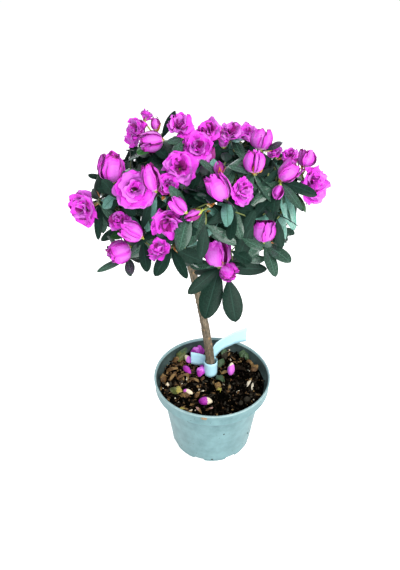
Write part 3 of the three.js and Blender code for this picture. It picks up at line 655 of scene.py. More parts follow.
class Growth:
    """The shrub's sprays, boughs and twigs, by the source's rule."""

    def __init__(self) -> None:
        """Grows the masses, the sprays and the twigs that carry them."""
        self.tones = Draws(LEAF_TONE_SEED)
        self.boughs, self.stalks, self.directions, self.hubs = [], [], [], []
        for _, bearing, rise, hub, foot in MASSES:
            self.add_mass(math.radians(bearing), rise, hub, foot)
        named = [self.front_spray(row, index) for index, row in enumerate(FRONT_SPRAYS)]
        blooms = [bloom for spray in named for bloom in spray.blooms]
        self.discs = seen_at(np.array([bloom.foot + bloom.facing * 0.5 * bloom.length for bloom in blooms]))
        self.disc_radii = np.array([DISC_SHARE * max(bloom.length, bloom.width) for bloom in blooms])
        self.sprays = named + self.round_sprays(named)
        for spray, row in zip(self.sprays, list(FRONT_SPRAYS) + [None] * len(self.sprays)):
            placed = len(row[4]) if row else 0
            free = [self.clear_of_sight(leaf, spray.axis) for leaf in spray.leaves[placed:]]
            spray.leaves = spray.leaves[:placed] + [leaf for leaf in free if leaf]
        self.grow_twigs()

    def strays(self, leaf: Leaf) -> bool:
        """Tells whether a leaf hides a bloom of the viewed side or reaches out of the outline.

        Args:
            leaf: the leaf.

        Returns:
            True where it does.
        """
        points = leaf.root + leaf.direction * (LEAF_POINTS * leaf.length)[:, None]
        seen = seen_at(points)
        away = np.linalg.norm(seen[:, None, :2] - self.discs[None, :, :2], axis=2)
        nearer = seen[:, None, 2] < self.discs[None, :, 2]
        hides = bool(np.any(nearer & (away < self.disc_radii + DISC_MARGIN)))
        return hides or outline_share(points[-1]) > LEAF_OUTLINE

    def clear_of_sight(self, leaf: Leaf, axis: Array) -> Leaf | None:
        """The leaf, swung about its spray's axis until it hides no bloom.

        Args:
            leaf: as it grew.
            axis: the spray's.

        Returns:
            The leaf, or nothing where every try hides one.
        """
        for turn, drop in LEAF_TRIES:
            spun = (leaf.direction * math.cos(turn) + np.cross(axis, leaf.direction) * math.sin(turn)
                    + axis * (axis @ leaf.direction) * (1 - math.cos(turn)))
            direction = unit(spun - axis * drop)
            tried = leaf_from(leaf.root, direction, leaf.normal, leaf.length, leaf.width, leaf.tone)
            if not self.strays(tried):
                return tried
        return None

    def tone(self) -> Tone:
        """Deals out a leaf tone: mostly dark and mid, some cool, partly painted sheen, and fresh."""
        draw = self.tones.next()
        return next(tone for below, tone in TONE_DEALS if draw < below)

    def add_mass(self, bearing: float, rise: float, hub: float, foot: float) -> None:
        """The bough and the stalk of a mass: one bent line from the stem to the mass's hub.

        Args:
            bearing: from +X, in radians.
            rise: of its direction.
            hub: reach of its hub in shares.
            foot: height of the bough's foot.
        """
        direction = unit(np.array([math.cos(bearing), math.sin(bearing), rise]))
        middle = direction * hub * HEAD_AXES + HEAD_CENTRE
        start = stem_at(foot)
        lift = start + (middle - start) * 0.45
        lift[2] -= 2.0 if rise > 0 else 8.0
        line = bezier(start, lift, middle, 200)
        length = np.linalg.norm(np.diff(line, axis=0), axis=1).sum()
        stalk_start = BOUGH_SHARE + (GAP + 0.02) / length
        self.boughs.append(evenly(line, np.linspace(0.0, stalk_start, 24)))
        self.stalks.append(evenly(line, np.linspace(stalk_start, 1.0, STALK_STEPS + 1)))
        self.directions.append(direction)
        self.hubs.append(middle)

    def whorl(self, base: Array, axis: Array, leaf: LeafRule, draws: Draws, count: int) -> list[Leaf]:
        """The leaves of a whorl, spaced by the golden angle, each raised or lowered by a draw.

        Args:
            base: where they grow.
            axis: the spray's or the shoot's.
            leaf: their rule.
            draws: deals out turns and sizes.
            count: how many, without those that the rule adds.

        Returns:
            The leaves.
        """
        leaves = []
        start = draws.next() * 2 * math.pi
        for index in range(count + (int(draws.next() * leaf.more) if leaf.more else 0)):
            tilt = leaf.lowest + leaf.swing * draws.next()
            length = leaf.length * (leaf.shortest + leaf.growth * draws.next())
            width = leaf.width * (0.85 + 0.35 * draws.next())
            turned = across(axis, start + index * GOLDEN_ANGLE)
            direction = unit(turned * math.cos(tilt) + axis * math.sin(tilt) - leaf.sag * UP)
            # Painted shade: a share of the inner leaves is dealt dark
            dark = leaf.dark > 0 and draws.next() < leaf.dark
            tone = DARK if dark else self.tone()
            leaves.append(leaf_from(base, direction, unit(axis + 0.5 * UP), length, width, tone))
        return leaves

    def front_spray(self, row: tuple, index: int) -> Spray:
        """A spray of the viewed side: its whorl, blooms and leaves from the named places.

        Args:
            row: of FRONT_SPRAYS.
            index: its number.

        Returns:
            The spray.
        """
        (right, up), sink, free, bloom_rows, leaf_rows = row
        draws = Draws(SEED + 101 * index)
        share = sight_share(right, up, 1 - sink)
        base = sight_point(right, up, share)
        axis = unit(outward_at(base) + GROWING_UP * UP)
        blooms = [self.placed_bloom(base, share, bloom) for bloom in bloom_rows]
        leaves = [self.placed_leaf(base, axis, share, leaf) for leaf in leaf_rows]
        return Spray(base, axis, blooms, leaves + self.whorl(base, axis, SPRAY_LEAVES, draws, free))

    def placed_bloom(self, base: Array, share: float, row: tuple) -> Bloom:
        """A bloom whose middle lies on a line of sight, at a pedicel's reach from its whorl.

        Args:
            base: the whorl's place.
            share: of the viewed plane's distance.
            row: kind, place, size, turn and facing, as in FRONT_SPRAYS.

        Returns:
            The bloom.
        """
        kind, right, up, length, width, turn, toward = row
        reach = 0.5 * length * share + PEDICEL_LENGTH
        level = sight_point(right, up, share)
        sideways = np.linalg.norm(level - base)
        forward = math.sqrt(max(reach * reach - sideways * sideways, 0.0))
        middle = level + to_eye(level) * forward
        angle = math.radians(turn)
        upright = VIEW_RIGHT * math.sin(angle) + VIEW_UP * math.cos(angle)
        facing = unit(upright * (1 - toward) + to_eye(level) * toward)
        return Bloom(kind, middle - facing * 0.5 * length * share, facing, length * share, width * share)

    def placed_leaf(self, base: Array, axis: Array, share: float, row: tuple) -> Leaf:
        """A leaf whose tip lies on a line of sight, at a leaf's reach from its whorl.

        Args:
            base: the whorl's place.
            axis: the spray's.
            share: of the viewed plane's distance.
            row: place of the tip, width, forward or back, and tone, as in FRONT_SPRAYS.

        Returns:
            The leaf.
        """
        right, up, width, forward, tone = row
        level = sight_point(right, up, share)
        sideways = np.linalg.norm(level - base)
        length = max(LEAF_LENGTH, sideways + 0.5)
        depth = forward * math.sqrt(length * length - sideways * sideways) * 0.8
        tip = level + to_eye(level) * depth
        face = to_eye(tip) + 0.6 * UP + 0.4 * axis
        reach = float(np.linalg.norm(tip - base))
        return leaf_from(base, unit(tip - base), face, reach, width * share, tone)

    def round_sprays(self, taken: list[Spray]) -> list[Spray]:
        """Sprays all round the head by a golden spiral, left out where a named one stands.

        Args:
            taken: the named sprays.

        Returns:
            The new ones.
        """
        sprays = []
        for index in range(SPRAYS_ALL_ROUND):
            draws = Draws(SEED + 7001 + 137 * index)
            level = 0.94 - 1.5 * (index + 0.5) / SPRAYS_ALL_ROUND + 0.08 * (draws.next() - 0.5)
            bearing = index * GOLDEN_ANGLE + 0.3 * (draws.next() - 0.5)
            ring = math.sqrt(max(1 - level * level, 0.0))
            shell = 0.86 + 0.06 * draws.next()
            place = np.array([math.cos(bearing) * ring, math.sin(bearing) * ring, level])
            outer = place * shell * HEAD_AXES + HEAD_CENTRE
            view = outward_at(outer) @ to_eye(outer)
            base, axis, tip_share = self.within_outline(place, shell)
            kind_draw = draws.next()
            near = any(np.linalg.norm(spray.base - base) < SPRAY_SPACING
                       or any(np.linalg.norm(bloom.foot - base) < SPRAY_SPACING * 0.8
                              for bloom in spray.blooms) for spray in taken)
            if near:
                continue
            leafy = level < LOWEST_BLOOM or view > VIEWED_SHARE or tip_share > BLOOM_OUTLINE
            blooms = [] if leafy else self.round_blooms(base, axis, kind_draw, draws)
            leaves = self.whorl(base, axis, SPRAY_LEAVES, draws, WHORL_LEAVES + int(leafy))
            sprays.append(Spray(base, axis, blooms, leaves))
        return sprays

    def within_outline(self, place: Array, shell: float) -> tuple[Array, Array, float]:
        """A spray's place, sunk step by step until its tip is inside the viewed outline.

        Args:
            place: its direction from the head's centre.
            shell: its first reach in shares of the head's axes.

        Returns:
            Its base, its axis and how far out its tip shows.
        """
        for step in range(SINK_TRIES):
            base = place * (shell - SINK_STEP * step) * HEAD_AXES + HEAD_CENTRE
            axis = unit(outward_at(base) + GROWING_UP * UP)
            tip_share = outline_share(base + axis * TIP_REACH)
            if tip_share < 1:
                break
        return base, axis, tip_share

    def round_blooms(self, base: Array, axis: Array, draw: float, draws: Draws) -> list[Bloom]:
        """The blooms of a spray that the view leaves open, by the shares of BLOOM_DEALS.

        Args:
            base: the spray's place.
            axis: the spray's.
            draw: chooses the kinds.
            draws: deals out turns and sizes.

        Returns:
            The blooms, which may be none.
        """
        kinds = next(kinds for below, kinds in BLOOM_DEALS if draw < below)
        start = draws.next() * 2 * math.pi
        spread = 0.75 if len(kinds) > 1 else 0.25
        blooms = []
        for index, kind in enumerate(kinds):
            facing = unit(axis + across(axis, start + index * math.pi) * spread)
            size = 0.88 + 0.2 * draws.next()
            length, width = (measure * size for measure in BLOOM_SIZES[kind])
            blooms.append(Bloom(kind, base + facing * PEDICEL_LENGTH, facing, length, width))
        return blooms

    def grow_twigs(self) -> None:
        """A twig to each spray from the nearest wood of its mass, the inner sprays first."""
        joints = [list(stalk[2:]) for stalk in self.stalks]
        directions = np.array(self.directions)
        masses = [int(np.argmax(directions @ unit((spray.base - HEAD_CENTRE) / HEAD_AXES)))
                  for spray in self.sprays]
        reach = [np.linalg.norm(spray.base - self.hubs[mass]) for spray, mass in zip(self.sprays, masses)]
        for index in np.argsort(reach, kind="stable"):
            spray, mass = self.sprays[index], masses[index]
            wood = np.array(joints[mass])
            gaps = spray.base - wood
            lengths = np.linalg.norm(gaps, axis=1)
            costs = lengths * (1.35 - 0.35 * (unit(gaps) @ directions[mass]))
            costs = np.where(lengths > 6, costs, np.inf)
            best = int(np.argmin(costs))
            bend = spray.base - spray.axis * 0.4 * costs[best]
            line = bezier(wood[best], bend, spray.base + spray.axis * WHORL_DEPTH, 60)
            spray.twig = evenly(line, np.linspace(0.0, 1.0, 13))
            joints[mass].extend(evenly(line, np.linspace(0.0, 1.0, TWIG_STEPS + 1))[1:-1])


def settle(inputs: bpy.types.NodeInputs, **settings: float | Colour) -> None:
    """Sets a node's inputs by their names, with _ for a space."""
    for name, value in settings.items():
        inputs[name.replace("_", " ")].default_value = value


class Surface:
    """A material in the making: its shader, and nodes whose patterns lie in Object coordinates."""

    def __init__(self, name: str, **settings: float | Colour) -> None:
        """Starts a material.

        Args:
            name: the material's.
            settings: its shader's inputs.
        """
        self.material = bpy.data.materials.new(name)
        self.material.use_nodes = True
        self.nodes = self.material.node_tree.nodes
        self.inputs = self.nodes["Principled BSDF"].inputs
        self.place = self.nodes.new("ShaderNodeTexCoord").outputs["Object"]
        settle(self.inputs, **settings)

    def join(self, source: Socket, target: Socket) -> None:
        """Links an output to an input."""
        self.material.node_tree.links.new(source, target)

    def node(self, kind: str, source: Socket, entry: str, **settings: float) -> bpy.types.Node:
        """A new node that reads a place, a number or a colour.

        Args:
            kind: the end of its type's name.
            source: what it reads.
            entry: the input that reads it.
            settings: its other inputs.

        Returns:
            The node.
        """
        node = self.nodes.new("ShaderNode" + kind)
        settle(node.inputs, **settings)
        self.join(source, node.inputs[entry])
        return node

    def noise(self, place: Socket, **settings: float) -> Socket:
        """A cloudy number from 0 to 1, with 'Scale' lumps in a metre and 'Detail' octaves."""
        return self.node("TexNoise", place, "Vector", **settings).outputs["Fac"]

    def spread(self, source: Socket, **ends: float) -> Socket:
        """A number carried over to another range, whose ends are named as the node's inputs."""
        return self.node("MapRange", source, "Value", **ends).outputs["Result"]

    def relief(self, source: Socket, strength: float, depth: float) -> None:
        """Gives the shader bumps whose height is a number, of a depth in millimetres."""
        bump = self.node("Bump", source, "Height", Strength=strength, Distance=depth * METRES)
        self.join(bump.outputs["Normal"], self.inputs["Normal"])

    def ramp(self, source: Socket, stops: Iterable[tuple[float, Colour]]) -> Socket:
        """A colour for a number.

        Args:
            source: the number.
            stops: positions and their colours, in rising order.

        Returns:
            The colour.
        """
        tint = self.node("ValToRGB", source, "Fac")
        elements = tint.color_ramp.elements
        for number, (position, colour) in enumerate(stops):
            element = elements[number] if number < 2 else elements.new(position)
            element.position = position
            element.color = colour
        return tint.outputs["Color"]

    def mix(self, blend: str, share: Socket | float, under: Socket, over: Socket | Colour) -> Socket:
        """Two colours mixed.

        Args:
            blend: the way of mixing.
            share: how much the second colour counts.
            under: the first colour.
            over: the second colour.

        Returns:
            The mixed colour.
        """
        mixer = self.nodes.new("ShaderNodeMix")
        mixer.data_type = "RGBA"
        mixer.blend_type = blend
        for number, value in zip(MIX_ENTRIES, (share, under, over)):
            if isinstance(value, Socket):
                self.join(value, mixer.inputs[number])
            else:
                mixer.inputs[number].default_value = value
        return mixer.outputs[MIXED_COLOUR]


@dataclass(frozen=True)
class Finish:
    """A plain-coloured finish with a fine grain in its relief and gloss."""

    name: str
    colour: Colour
    roughness: float
    grain: float = 0.0
    pitch: float = 1.0
    sheen: float = 0.0
    specular: float = 0.5
    depth: float = 0.4
    mottle: float = 0.0

    def material(self) -> Material:
        """The material: the plain colour, and a noise of the pitch in millimetres as relief.

        The noise also varies the gloss, and the colour's brightness by the share 'mottle'.

        Returns:
            The new material.
        """
        surface = Surface(self.name, Base_Color=self.colour, Roughness=self.roughness,
                          Specular_IOR_Level=self.specular, Sheen_Weight=self.sheen,
                          Sheen_Roughness=SHEEN_ROUGHNESS)
        if self.grain > 0:
            noise = surface.noise(surface.place, Scale=1 / METRES / self.pitch, Detail=GRAIN_DETAIL)
            surface.relief(noise, self.grain, self.depth)
            gloss = surface.spread(noise, To_Min=max(self.roughness - GLOSS_SPREAD, 0.02),
                                   To_Max=min(self.roughness + GLOSS_SPREAD, 1.0))
            surface.join(gloss, surface.inputs["Roughness"])
            if self.mottle > 0:
                stops = [(position, tuple(min(c * gain, 1.0) for c in self.colour[:3]) + (1.0,))
                         for position, gain in zip(MOTTLE_STOPS, (1 - self.mottle, 1 + self.mottle))]
                surface.join(surface.ramp(noise, stops), surface.inputs["Base Color"])
        return surface.material


class PetalTone(IntEnum):
    """The petals' colours, in the order of PETAL_FINISHES."""

    PALE = 0
    LILAC = 1
    MAGENTA = 2
    # Painted shade: in the throat, on inner petals, along edges and seams, and at some tips
    DEEP_SHADE = 3
    # A brighter copy of the magenta for open blooms: painted light
    BRIGHT_LIT = 4
    # The step between a closed petal's painted highlight and its painted shade
    SOFT_SHADING = 5


class StalkFinish(IntEnum):
    """The pedicels' and bud scales' colours, in the order of STALK_FINISHES."""

    GREEN = 0
    BROWN = 1
    CREAM = 2


class TwigFinish(IntEnum):
    """Old and young twigs, in the order of TWIG_FINISHES."""

    BARK = 0
    GREEN = 1


LEAF_FINISHES = (
    Finish("leaf_dark_green", linear(23, 46, 37), 0.42, 0.45, 1.4, specular=0.1, mottle=0.25),
    Finish("leaf_mid_green", linear(52, 80, 66), 0.26, 0.5, 1.4, specular=0.45, mottle=0.25),
    # Cool green: partly the leaves' own tone, partly painted sheen
    Finish("leaf_cool_green_partly_painted_sheen", linear(99, 148, 135), 0.32, 0.45, 1.4, specular=0.35, mottle=0.2),
    Finish("leaf_fresh_green", linear(38, 82, 38), 0.32, 0.45, 1.4, specular=0.28, mottle=0.2),
    Finish("leaf_rib_dark", linear(34, 62, 52), 0.5, 0.2, 1.0, specular=0.1),
    Finish("leaf_rib_light", linear(68, 108, 90), 0.4, 0.2, 1.0, specular=0.2),
)
PETAL_FINISHES = (
    Finish("petal_throat_pale", linear(224, 160, 214), 0.6, 0.4, 1.8, sheen=0.15, mottle=0.06),
    Finish("petal_lilac", linear(206, 96, 209), 0.6, 0.4, 1.8, sheen=0.15, mottle=0.08),
    Finish("petal_magenta", linear(204, 50, 198), 0.6, 0.4, 1.8, sheen=0.1, mottle=0.1),
    # Deep magenta: painted shade
    Finish("petal_deep_magenta_painted_shade", linear(140, 6, 118), 0.6, 0.4, 1.8, sheen=0.05, mottle=0.15),
    # Bright magenta: painted light on open blooms
    Finish("petal_bright_magenta_painted_light", linear(226, 58, 219), 0.6, 0.4, 1.8, sheen=0.1, mottle=0.1),
    # Soft magenta: the step of painted shading on closed petals
    Finish("petal_soft_magenta_painted_shading", linear(206, 74, 204), 0.6, 0.4, 1.8, sheen=0.1, mottle=0.1),
)
STALK_FINISHES = (
    Finish("pedicel_yellow_green", linear(172, 186, 84), 0.5, 0.2, 1.0),
    Finish("bud_scale_brown", linear(180, 112, 44), 0.6, 0.3, 1.0, mottle=0.3),
    Finish("bud_scale_cream", linear(214, 200, 160), 0.6, 0.3, 1.0, mottle=0.1),
)
TWIG_FINISHES = (
    Finish("twig_bark", linear(96, 82, 60), 0.75, 0.6, 1.2),
    Finish("twig_green", linear(104, 116, 60), 0.6, 0.3, 1.2),
)


class Litter(IntEnum):
    """What the soil is and what lies on it, in the order of SOIL_FINISHES."""

    PEAT = 0
    DARK = 1
    ORANGE = 2
    TAN = 3
    GREY = 4
    PALE = 5
    LILAC = 6
    MAGENTA = 7
    CREAM = 8
    GREEN = 9
    YELLOW = 10
    OLIVE = 11
    ROSE = 12


SOIL_FINISHES = (
    Finish("soil_peat_black", linear(8, 7, 5), 0.92, 0.9, 2.2, depth=1.0, mottle=0.6, specular=0),
    Finish("chip_bark_dark", linear(28, 21, 14), 0.8, 0.6, 1.6, depth=0.6, mottle=0.5,
           specular=0.05),
    Finish("chip_bark_orange", linear(88, 60, 25), 0.6, 0.6, 1.6, depth=0.6, mottle=0.55,
           specular=0.4),
    Finish("chip_bark_tan", linear(126, 98, 56), 0.7, 0.6, 1.6, depth=0.6, mottle=0.4, specular=0.4),
    Finish("chip_grey_brown", linear(52, 48, 40), 0.85, 0.6, 1.4, depth=0.5, mottle=0.4, specular=0.1),
    Finish("bit_pale", linear(206, 196, 174), 0.7, 0.4, 1.2, mottle=0.15),
    Finish("fallen_petal_lilac", linear(224, 112, 226), 0.55, 0.4, 1.6, mottle=0.1),
    Finish("fallen_petal_magenta", linear(172, 42, 170), 0.55, 0.4, 1.6, mottle=0.2),
    Finish("fallen_bud_cream", linear(236, 220, 190), 0.55, 0.3, 1.4, mottle=0.06),
    Finish("fallen_leaf_green", linear(58, 82, 50), 0.5, 0.4, 1.6, mottle=0.3),
    Finish("fallen_leaf_yellow", linear(158, 146, 62), 0.55, 0.4, 1.6, mottle=0.35),
    Finish("fallen_leaf_olive", linear(88, 96, 46), 0.5, 0.4, 1.6, mottle=0.35),
    Finish("fallen_petal_faded", linear(176, 132, 124), 0.6, 0.4, 1.6, mottle=0.3),
)


@dataclass(frozen=True)
class FallenBit:
    """A bud or a curled blade on the soil: its middle, size, the way it points in degrees, finishes.

    The finishes of a bud meet at the share 'parting' of its length.
    """

    bud: bool
    x: float
    y: float
    length: float
    width: float
    bearing: float
    tilt: float
    foot: Litter
    tip: Litter
    parting: float = 0.52


FALLEN_BUDS = (
    (-8, -34, 17, 9.5, -8, 4, Litter.MAGENTA, Litter.CREAM),
    (24, 13, 17, 9, 75, 62, Litter.LILAC, Litter.CREAM, 0.7),
    (-31, 20, 18, 8, -58, 8, Litter.MAGENTA, Litter.MAGENTA),
    (-29, -20, 14, 6.5, -32, 10, Litter.LILAC, Litter.CREAM, 0.3),
    (-18, -25, 10, 5, 55, 15, Litter.ORANGE, Litter.TAN),
    (-30, 37, 13, 8, 130, 20, Litter.LILAC, Litter.CREAM),
    (41, -30, 9, 7, 20, 0, Litter.GREY, Litter.GREY),
    (33, -37, 7, 5, 70, 0, Litter.GREY, Litter.GREY),
)
FALLEN_BLADES = (
    (-14, 14, 14, 11, 60, 35, Litter.MAGENTA, Litter.LILAC),
    (-11, 19, 12, 9, 110, 40, Litter.MAGENTA, Litter.MAGENTA),
    (-22, 53, 15, 11, 20, 30, Litter.MAGENTA, Litter.LILAC),
    (-14, 55, 14, 11, 120, 35, Litter.MAGENTA, Litter.MAGENTA),
    (-17, 49, 11, 8, 75, 35, Litter.MAGENTA, Litter.MAGENTA),
    (7, -9, 9, 8, 70, 30, Litter.TAN, Litter.TAN),
    (8, -15, 9, 7, -80, 25, Litter.TAN, Litter.YELLOW),
    (-43, -18, 18, 11, -25, 12, Litter.OLIVE, Litter.YELLOW),
    (-33, -24, 14, 8, -20, 15, Litter.TAN, Litter.ORANGE),
    (54, 22, 13, 9, 35, 18, Litter.ORANGE, Litter.TAN),
    (50, 33, 11, 7, 150, 25, Litter.TAN, Litter.ORANGE),
    (46, 45, 12, 7, 110, 30, Litter.GREEN, Litter.GREEN),
    (41, 49, 13, 8, 60, 34, Litter.GREEN, Litter.GREEN),
    (17, 47, 15, 9, 100, 35, Litter.GREY, Litter.GREEN),
    (12, 33, 15, 9, 60, 15, Litter.GREEN, Litter.GREEN),
    (10, 3, 18, 9, -60, 18, Litter.GREEN, Litter.GREEN),
    (-38, 46, 22, 12, 55, 30, Litter.OLIVE, Litter.GREEN),
    (-45, 40, 14, 7, 25, 20, Litter.ORANGE, Litter.TAN),
    (-60, 3, 13, 8, 100, 20, Litter.ORANGE, Litter.TAN),
    (-55, -5, 8, 5, -50, 15, Litter.TAN, Litter.CREAM),
    (46, -2, 15, 3.5, 60, 14, Litter.PALE, Litter.TAN),
    (49, -9, 12, 3, 80, 10, Litter.PALE, Litter.PALE),
    (35, 24, 18, 8, -15, 6, Litter.DARK, Litter.DARK),
    (18, 15, 14, 5, 10, 4, Litter.TAN, Litter.ORANGE),
    (-34, -46, 13, 3.5, -10, 12, Litter.YELLOW, Litter.TAN),
    (-27, -49, 10, 3, 40, 12, Litter.TAN, Litter.CREAM),
    (-16, -48, 11, 3.4, 130, 14, Litter.TAN, Litter.ROSE),
    (-4, -46, 10, 3, 20, 14, Litter.ORANGE, Litter.ROSE),
    (-50, 20, 16, 7, 10, 14, Litter.ORANGE, Litter.TAN),
    (-36, 8, 17, 5, 25, 8, Litter.ORANGE, Litter.TAN),
    (-22, 2, 14, 6, -25, 10, Litter.ORANGE, Litter.TAN),
    (-48, 8, 16, 5, 60, 10, Litter.TAN, Litter.ORANGE),
)
FALLEN = [FallenBit(True, *row) for row in FALLEN_BUDS]
FALLEN += [FallenBit(False, *row) for row in FALLEN_BLADES]


def soil_height(x: Array, y: Array) -> Array:
    """The soil's top: the source's lumps, two products of sines, with finer ripples on them.

    Args:
        x: places across.
        y: places in depth.

    Returns:
        The height at each place.
    """
    radius = np.hypot(x, y)
    from_stem = np.hypot(x - STEM_FOOT[0], y - STEM_FOOT[1])
    fade = np.clip((from_stem - 14) / 10, 0, 1) * np.clip((68 - radius) / 8, 0, 1)
    lumps = np.sin(0.21 * x + 1.1) * np.cos(0.17 * y - 0.4) + 0.6 * np.sin(0.43 * x - 0.37 * y)
    flat = np.stack([x, y, np.zeros_like(x)], axis=-1)
    fine = 0.5 * ripples(flat, 7.0, 21) + 0.45 * ripples(flat, 3.4, 22)
    return SOIL_LEVEL + SOIL_BUMP * lumps * fade + fine * np.clip((66 - radius) / 4, 0, 1) - 0.2


@dataclass
class Soil:
    """The filling of the pot: peat with a lumpy top, bark chips, crumbs, and what fell on it."""

    spokes: int = 168
    rings: int = 62
    chips: int = 760
    crumbs: int = 1500
    reach: float = 65.6
    clear_of_stem: float = 9.5

    def build(self) -> Batch:
        """The peat, the chips and the crumbs in one mesh.

        Returns:
            The mesh.
        """
        batch = Batch()
        self.add_peat(batch)
        rng = np.random.default_rng(SEED + 41)
        self.add_lumps(batch, self.chips, (3.5, 9.0), (1.8, 4.2), (0.7, 1.8), rng)
        self.add_lumps(batch, self.crumbs, (1.2, 3.6), (1.0, 2.4), (0.8, 1.8), rng)
        return batch

    def add_peat(self, batch: Batch) -> None:
        """Adds a turned body, with its section from the underside to the middle of the top.

        Args:
            batch: the mesh that it joins.
        """
        clear = 2 * GAP
        ledge = POT_HEIGHT - COLLAR_HEIGHT - LEDGE_DROP + 2 * WALL
        edge = COLLAR_FOOT_RADIUS - WALL - clear
        section = [(0.5, FLOOR + clear), (FOOT_RADIUS - WALL - clear, FLOOR + clear),
                   (BODY_TOP_RADIUS - WALL - clear, ledge - 1), (edge - 1, ledge + 0.6),
                   (edge, SOIL_LEVEL - 0.4)]
        top = [(edge - 0.7 - (edge - 1.2) * t, SOIL_LEVEL) for t in np.linspace(0, 1, self.rings)]
        profile = np.array(section + top)
        angles = turns(self.spokes)
        x = profile[:, :1] * np.cos(angles)
        y = profile[:, :1] * np.sin(angles)
        height = np.broadcast_to(profile[:, 1:], x.shape).copy()
        height[len(section):] = soil_height(x[len(section):], y[len(section):])
        batch.add(np.stack([x, y, height], axis=-1)[None], Litter.PEAT, ring=True, lids=True)

    def add_lumps(self, batch: Batch, count: int, lengths: Span, widths: Span, depths: Span,
                  rng: Generator) -> None:
        """Chips or crumbs scattered over the peat, each half sunk and turned at random.

        Args:
            batch: the mesh that they join.
            count: how many.
            lengths: least and greatest length.
            widths: least and greatest width.
            depths: least and greatest depth.
            rng: deals them out.
        """
        radius = self.reach * np.sqrt(rng.uniform(0, 1, count))
        bearing = rng.uniform(0, 2 * math.pi, count)
        x, y = radius * np.cos(bearing), radius * np.sin(bearing)
        keep = np.hypot(x - STEM_FOOT[0], y - STEM_FOOT[1]) > self.clear_of_stem
        x, y = x[keep], y[keep]
        number = len(x)
        depth = rng.uniform(*depths, number)
        places = np.stack([x, y, soil_height(x, y) + 0.35 * depth + rng.uniform(0, 1.2, number)], axis=-1)
        sizes = np.stack([rng.uniform(*lengths, number), rng.uniform(*widths, number), depth], axis=-1)
        frames = frames_of(rng.uniform(0, 2 * math.pi, number), rng.normal(0, 0.3, number),
                           rng.normal(0, 0.4, number))
        leftness = smooth((25.0 - x + 0.6 * y) / 80.0)
        draw = rng.uniform(size=number)
        orange = 0.04 + 0.22 * leftness
        tan = orange + 0.03 + 0.1 * leftness
        finish = np.select(
            [draw < orange, draw < tan, draw < tan + 0.32, draw < tan + 0.44, draw > 0.988],
            [Litter.ORANGE, Litter.TAN, Litter.DARK, Litter.GREY, Litter.PALE],
            Litter.PEAT)
        batch.add(pebbles(places, sizes, frames, rng), finish[:, None, None], ring=True, lids=True)

    def build_fallen(self) -> Batch:
        """Fallen buds and blades on the soil.

        Returns:
            The mesh.
        """
        batch = Batch()
        for index, bit in enumerate(FALLEN):
            draws = Draws(SEED + 53 * index)
            height = float(soil_height(np.array(bit.x), np.array(bit.y)))
            bearing, tilt = np.radians([bit.bearing]), np.radians([bit.tilt])
            axes = frames_of(bearing, tilt, np.zeros(1))[0]
            rise = 0.5 * bit.length * math.sin(math.radians(bit.tilt))
            middle = np.array([bit.x, bit.y, height + 1.0 + rise + (0.35 * bit.width if bit.bud else 0.8)])
            if bit.bud:
                self.add_bud(batch, bit, middle, axes)
            else:
                self.add_blade(batch, bit, middle, axes, draws)
        return batch

    def add_bud(self, batch: Batch, bit: FallenBit, middle: Array, axes: Array) -> None:
        """Adds a closed bud: radius width/2 * sin(pi * t^0.85)^0.6 with shallow folds, a little bowed.

        Its two colours part on a slanted line round it.

        Args:
            batch: the mesh that it joins.
            bit: its measures.
            middle: its place.
            axes: along, aside and up.
        """
        along, aside, upward = axes
        share = np.linspace(0.03, 0.97, 19)[:, None]
        angle = turns(18)
        radius = bit.width / 2 * np.sin(math.pi * share ** 0.85) ** 0.6
        radius = radius * (1 + 0.07 * np.cos(3 * angle + 4 * share))
        bow = -0.06 * bit.length * (2 * share - 1) ** 2
        centre = middle + along * ((share - 0.5) * bit.length) + upward * bow
        grid = (centre[:, None, :] + aside * (radius * np.cos(angle))[..., None]
                + upward * (radius * np.sin(angle))[..., None])
        slant = 0.14 * np.cos(angle + 0.8)[None, :]
        finish = np.where(share[:-1] + slant < bit.parting, bit.foot, bit.tip)
        batch.add(grid[None], finish[None], ring=True, lids=True)

    def add_blade(self, batch: Batch, bit: FallenBit, middle: Array, axes: Array,
                  draws: Draws) -> None:
        """Adds a curled blade: half width width/2 * sin(pi u)^0.6, arched along and across.

        Waves grow with the square of the distance from its middle, and its two colours part on a
        slanted, wavy line.

        Args:
            batch: the mesh that it joins.
            bit: its measures.
            middle: its place.
            axes: along, aside and up.
            draws: for the phase of the waves.
        """
        along, aside, upward = axes
        u = np.linspace(0.02, 0.98, 15)[:, None]
        v = np.linspace(-1.0, 1.0, 11)[None, :]
        half = bit.width / 2 * np.sin(math.pi * u) ** 0.6
        phase = draws.next() * 2 * math.pi
        bow = 0.16 * bit.length * np.sin(math.pi * u) - 0.28 * bit.width * (v * v - 0.3)
        wave = 0.15 * bit.width * v * v * np.sin(7 * u + phase + 1.6 * v)
        wave = wave + 0.05 * bit.width * np.sin(4 * v + 8 * u + 2 * phase)
        grid = (middle + along * ((u - 0.5) * bit.length)[..., None] + aside * (half * v)[..., None]
                + upward * (bow + wave)[..., None])
        slant = 0.16 * v[:, :-1] + 0.05 * np.sin(9 * v[:, :-1] + phase)
        finish = np.where(u[:-1] + slant < 0.5, bit.foot, bit.tip)
        batch.add(grid[None], finish[None])


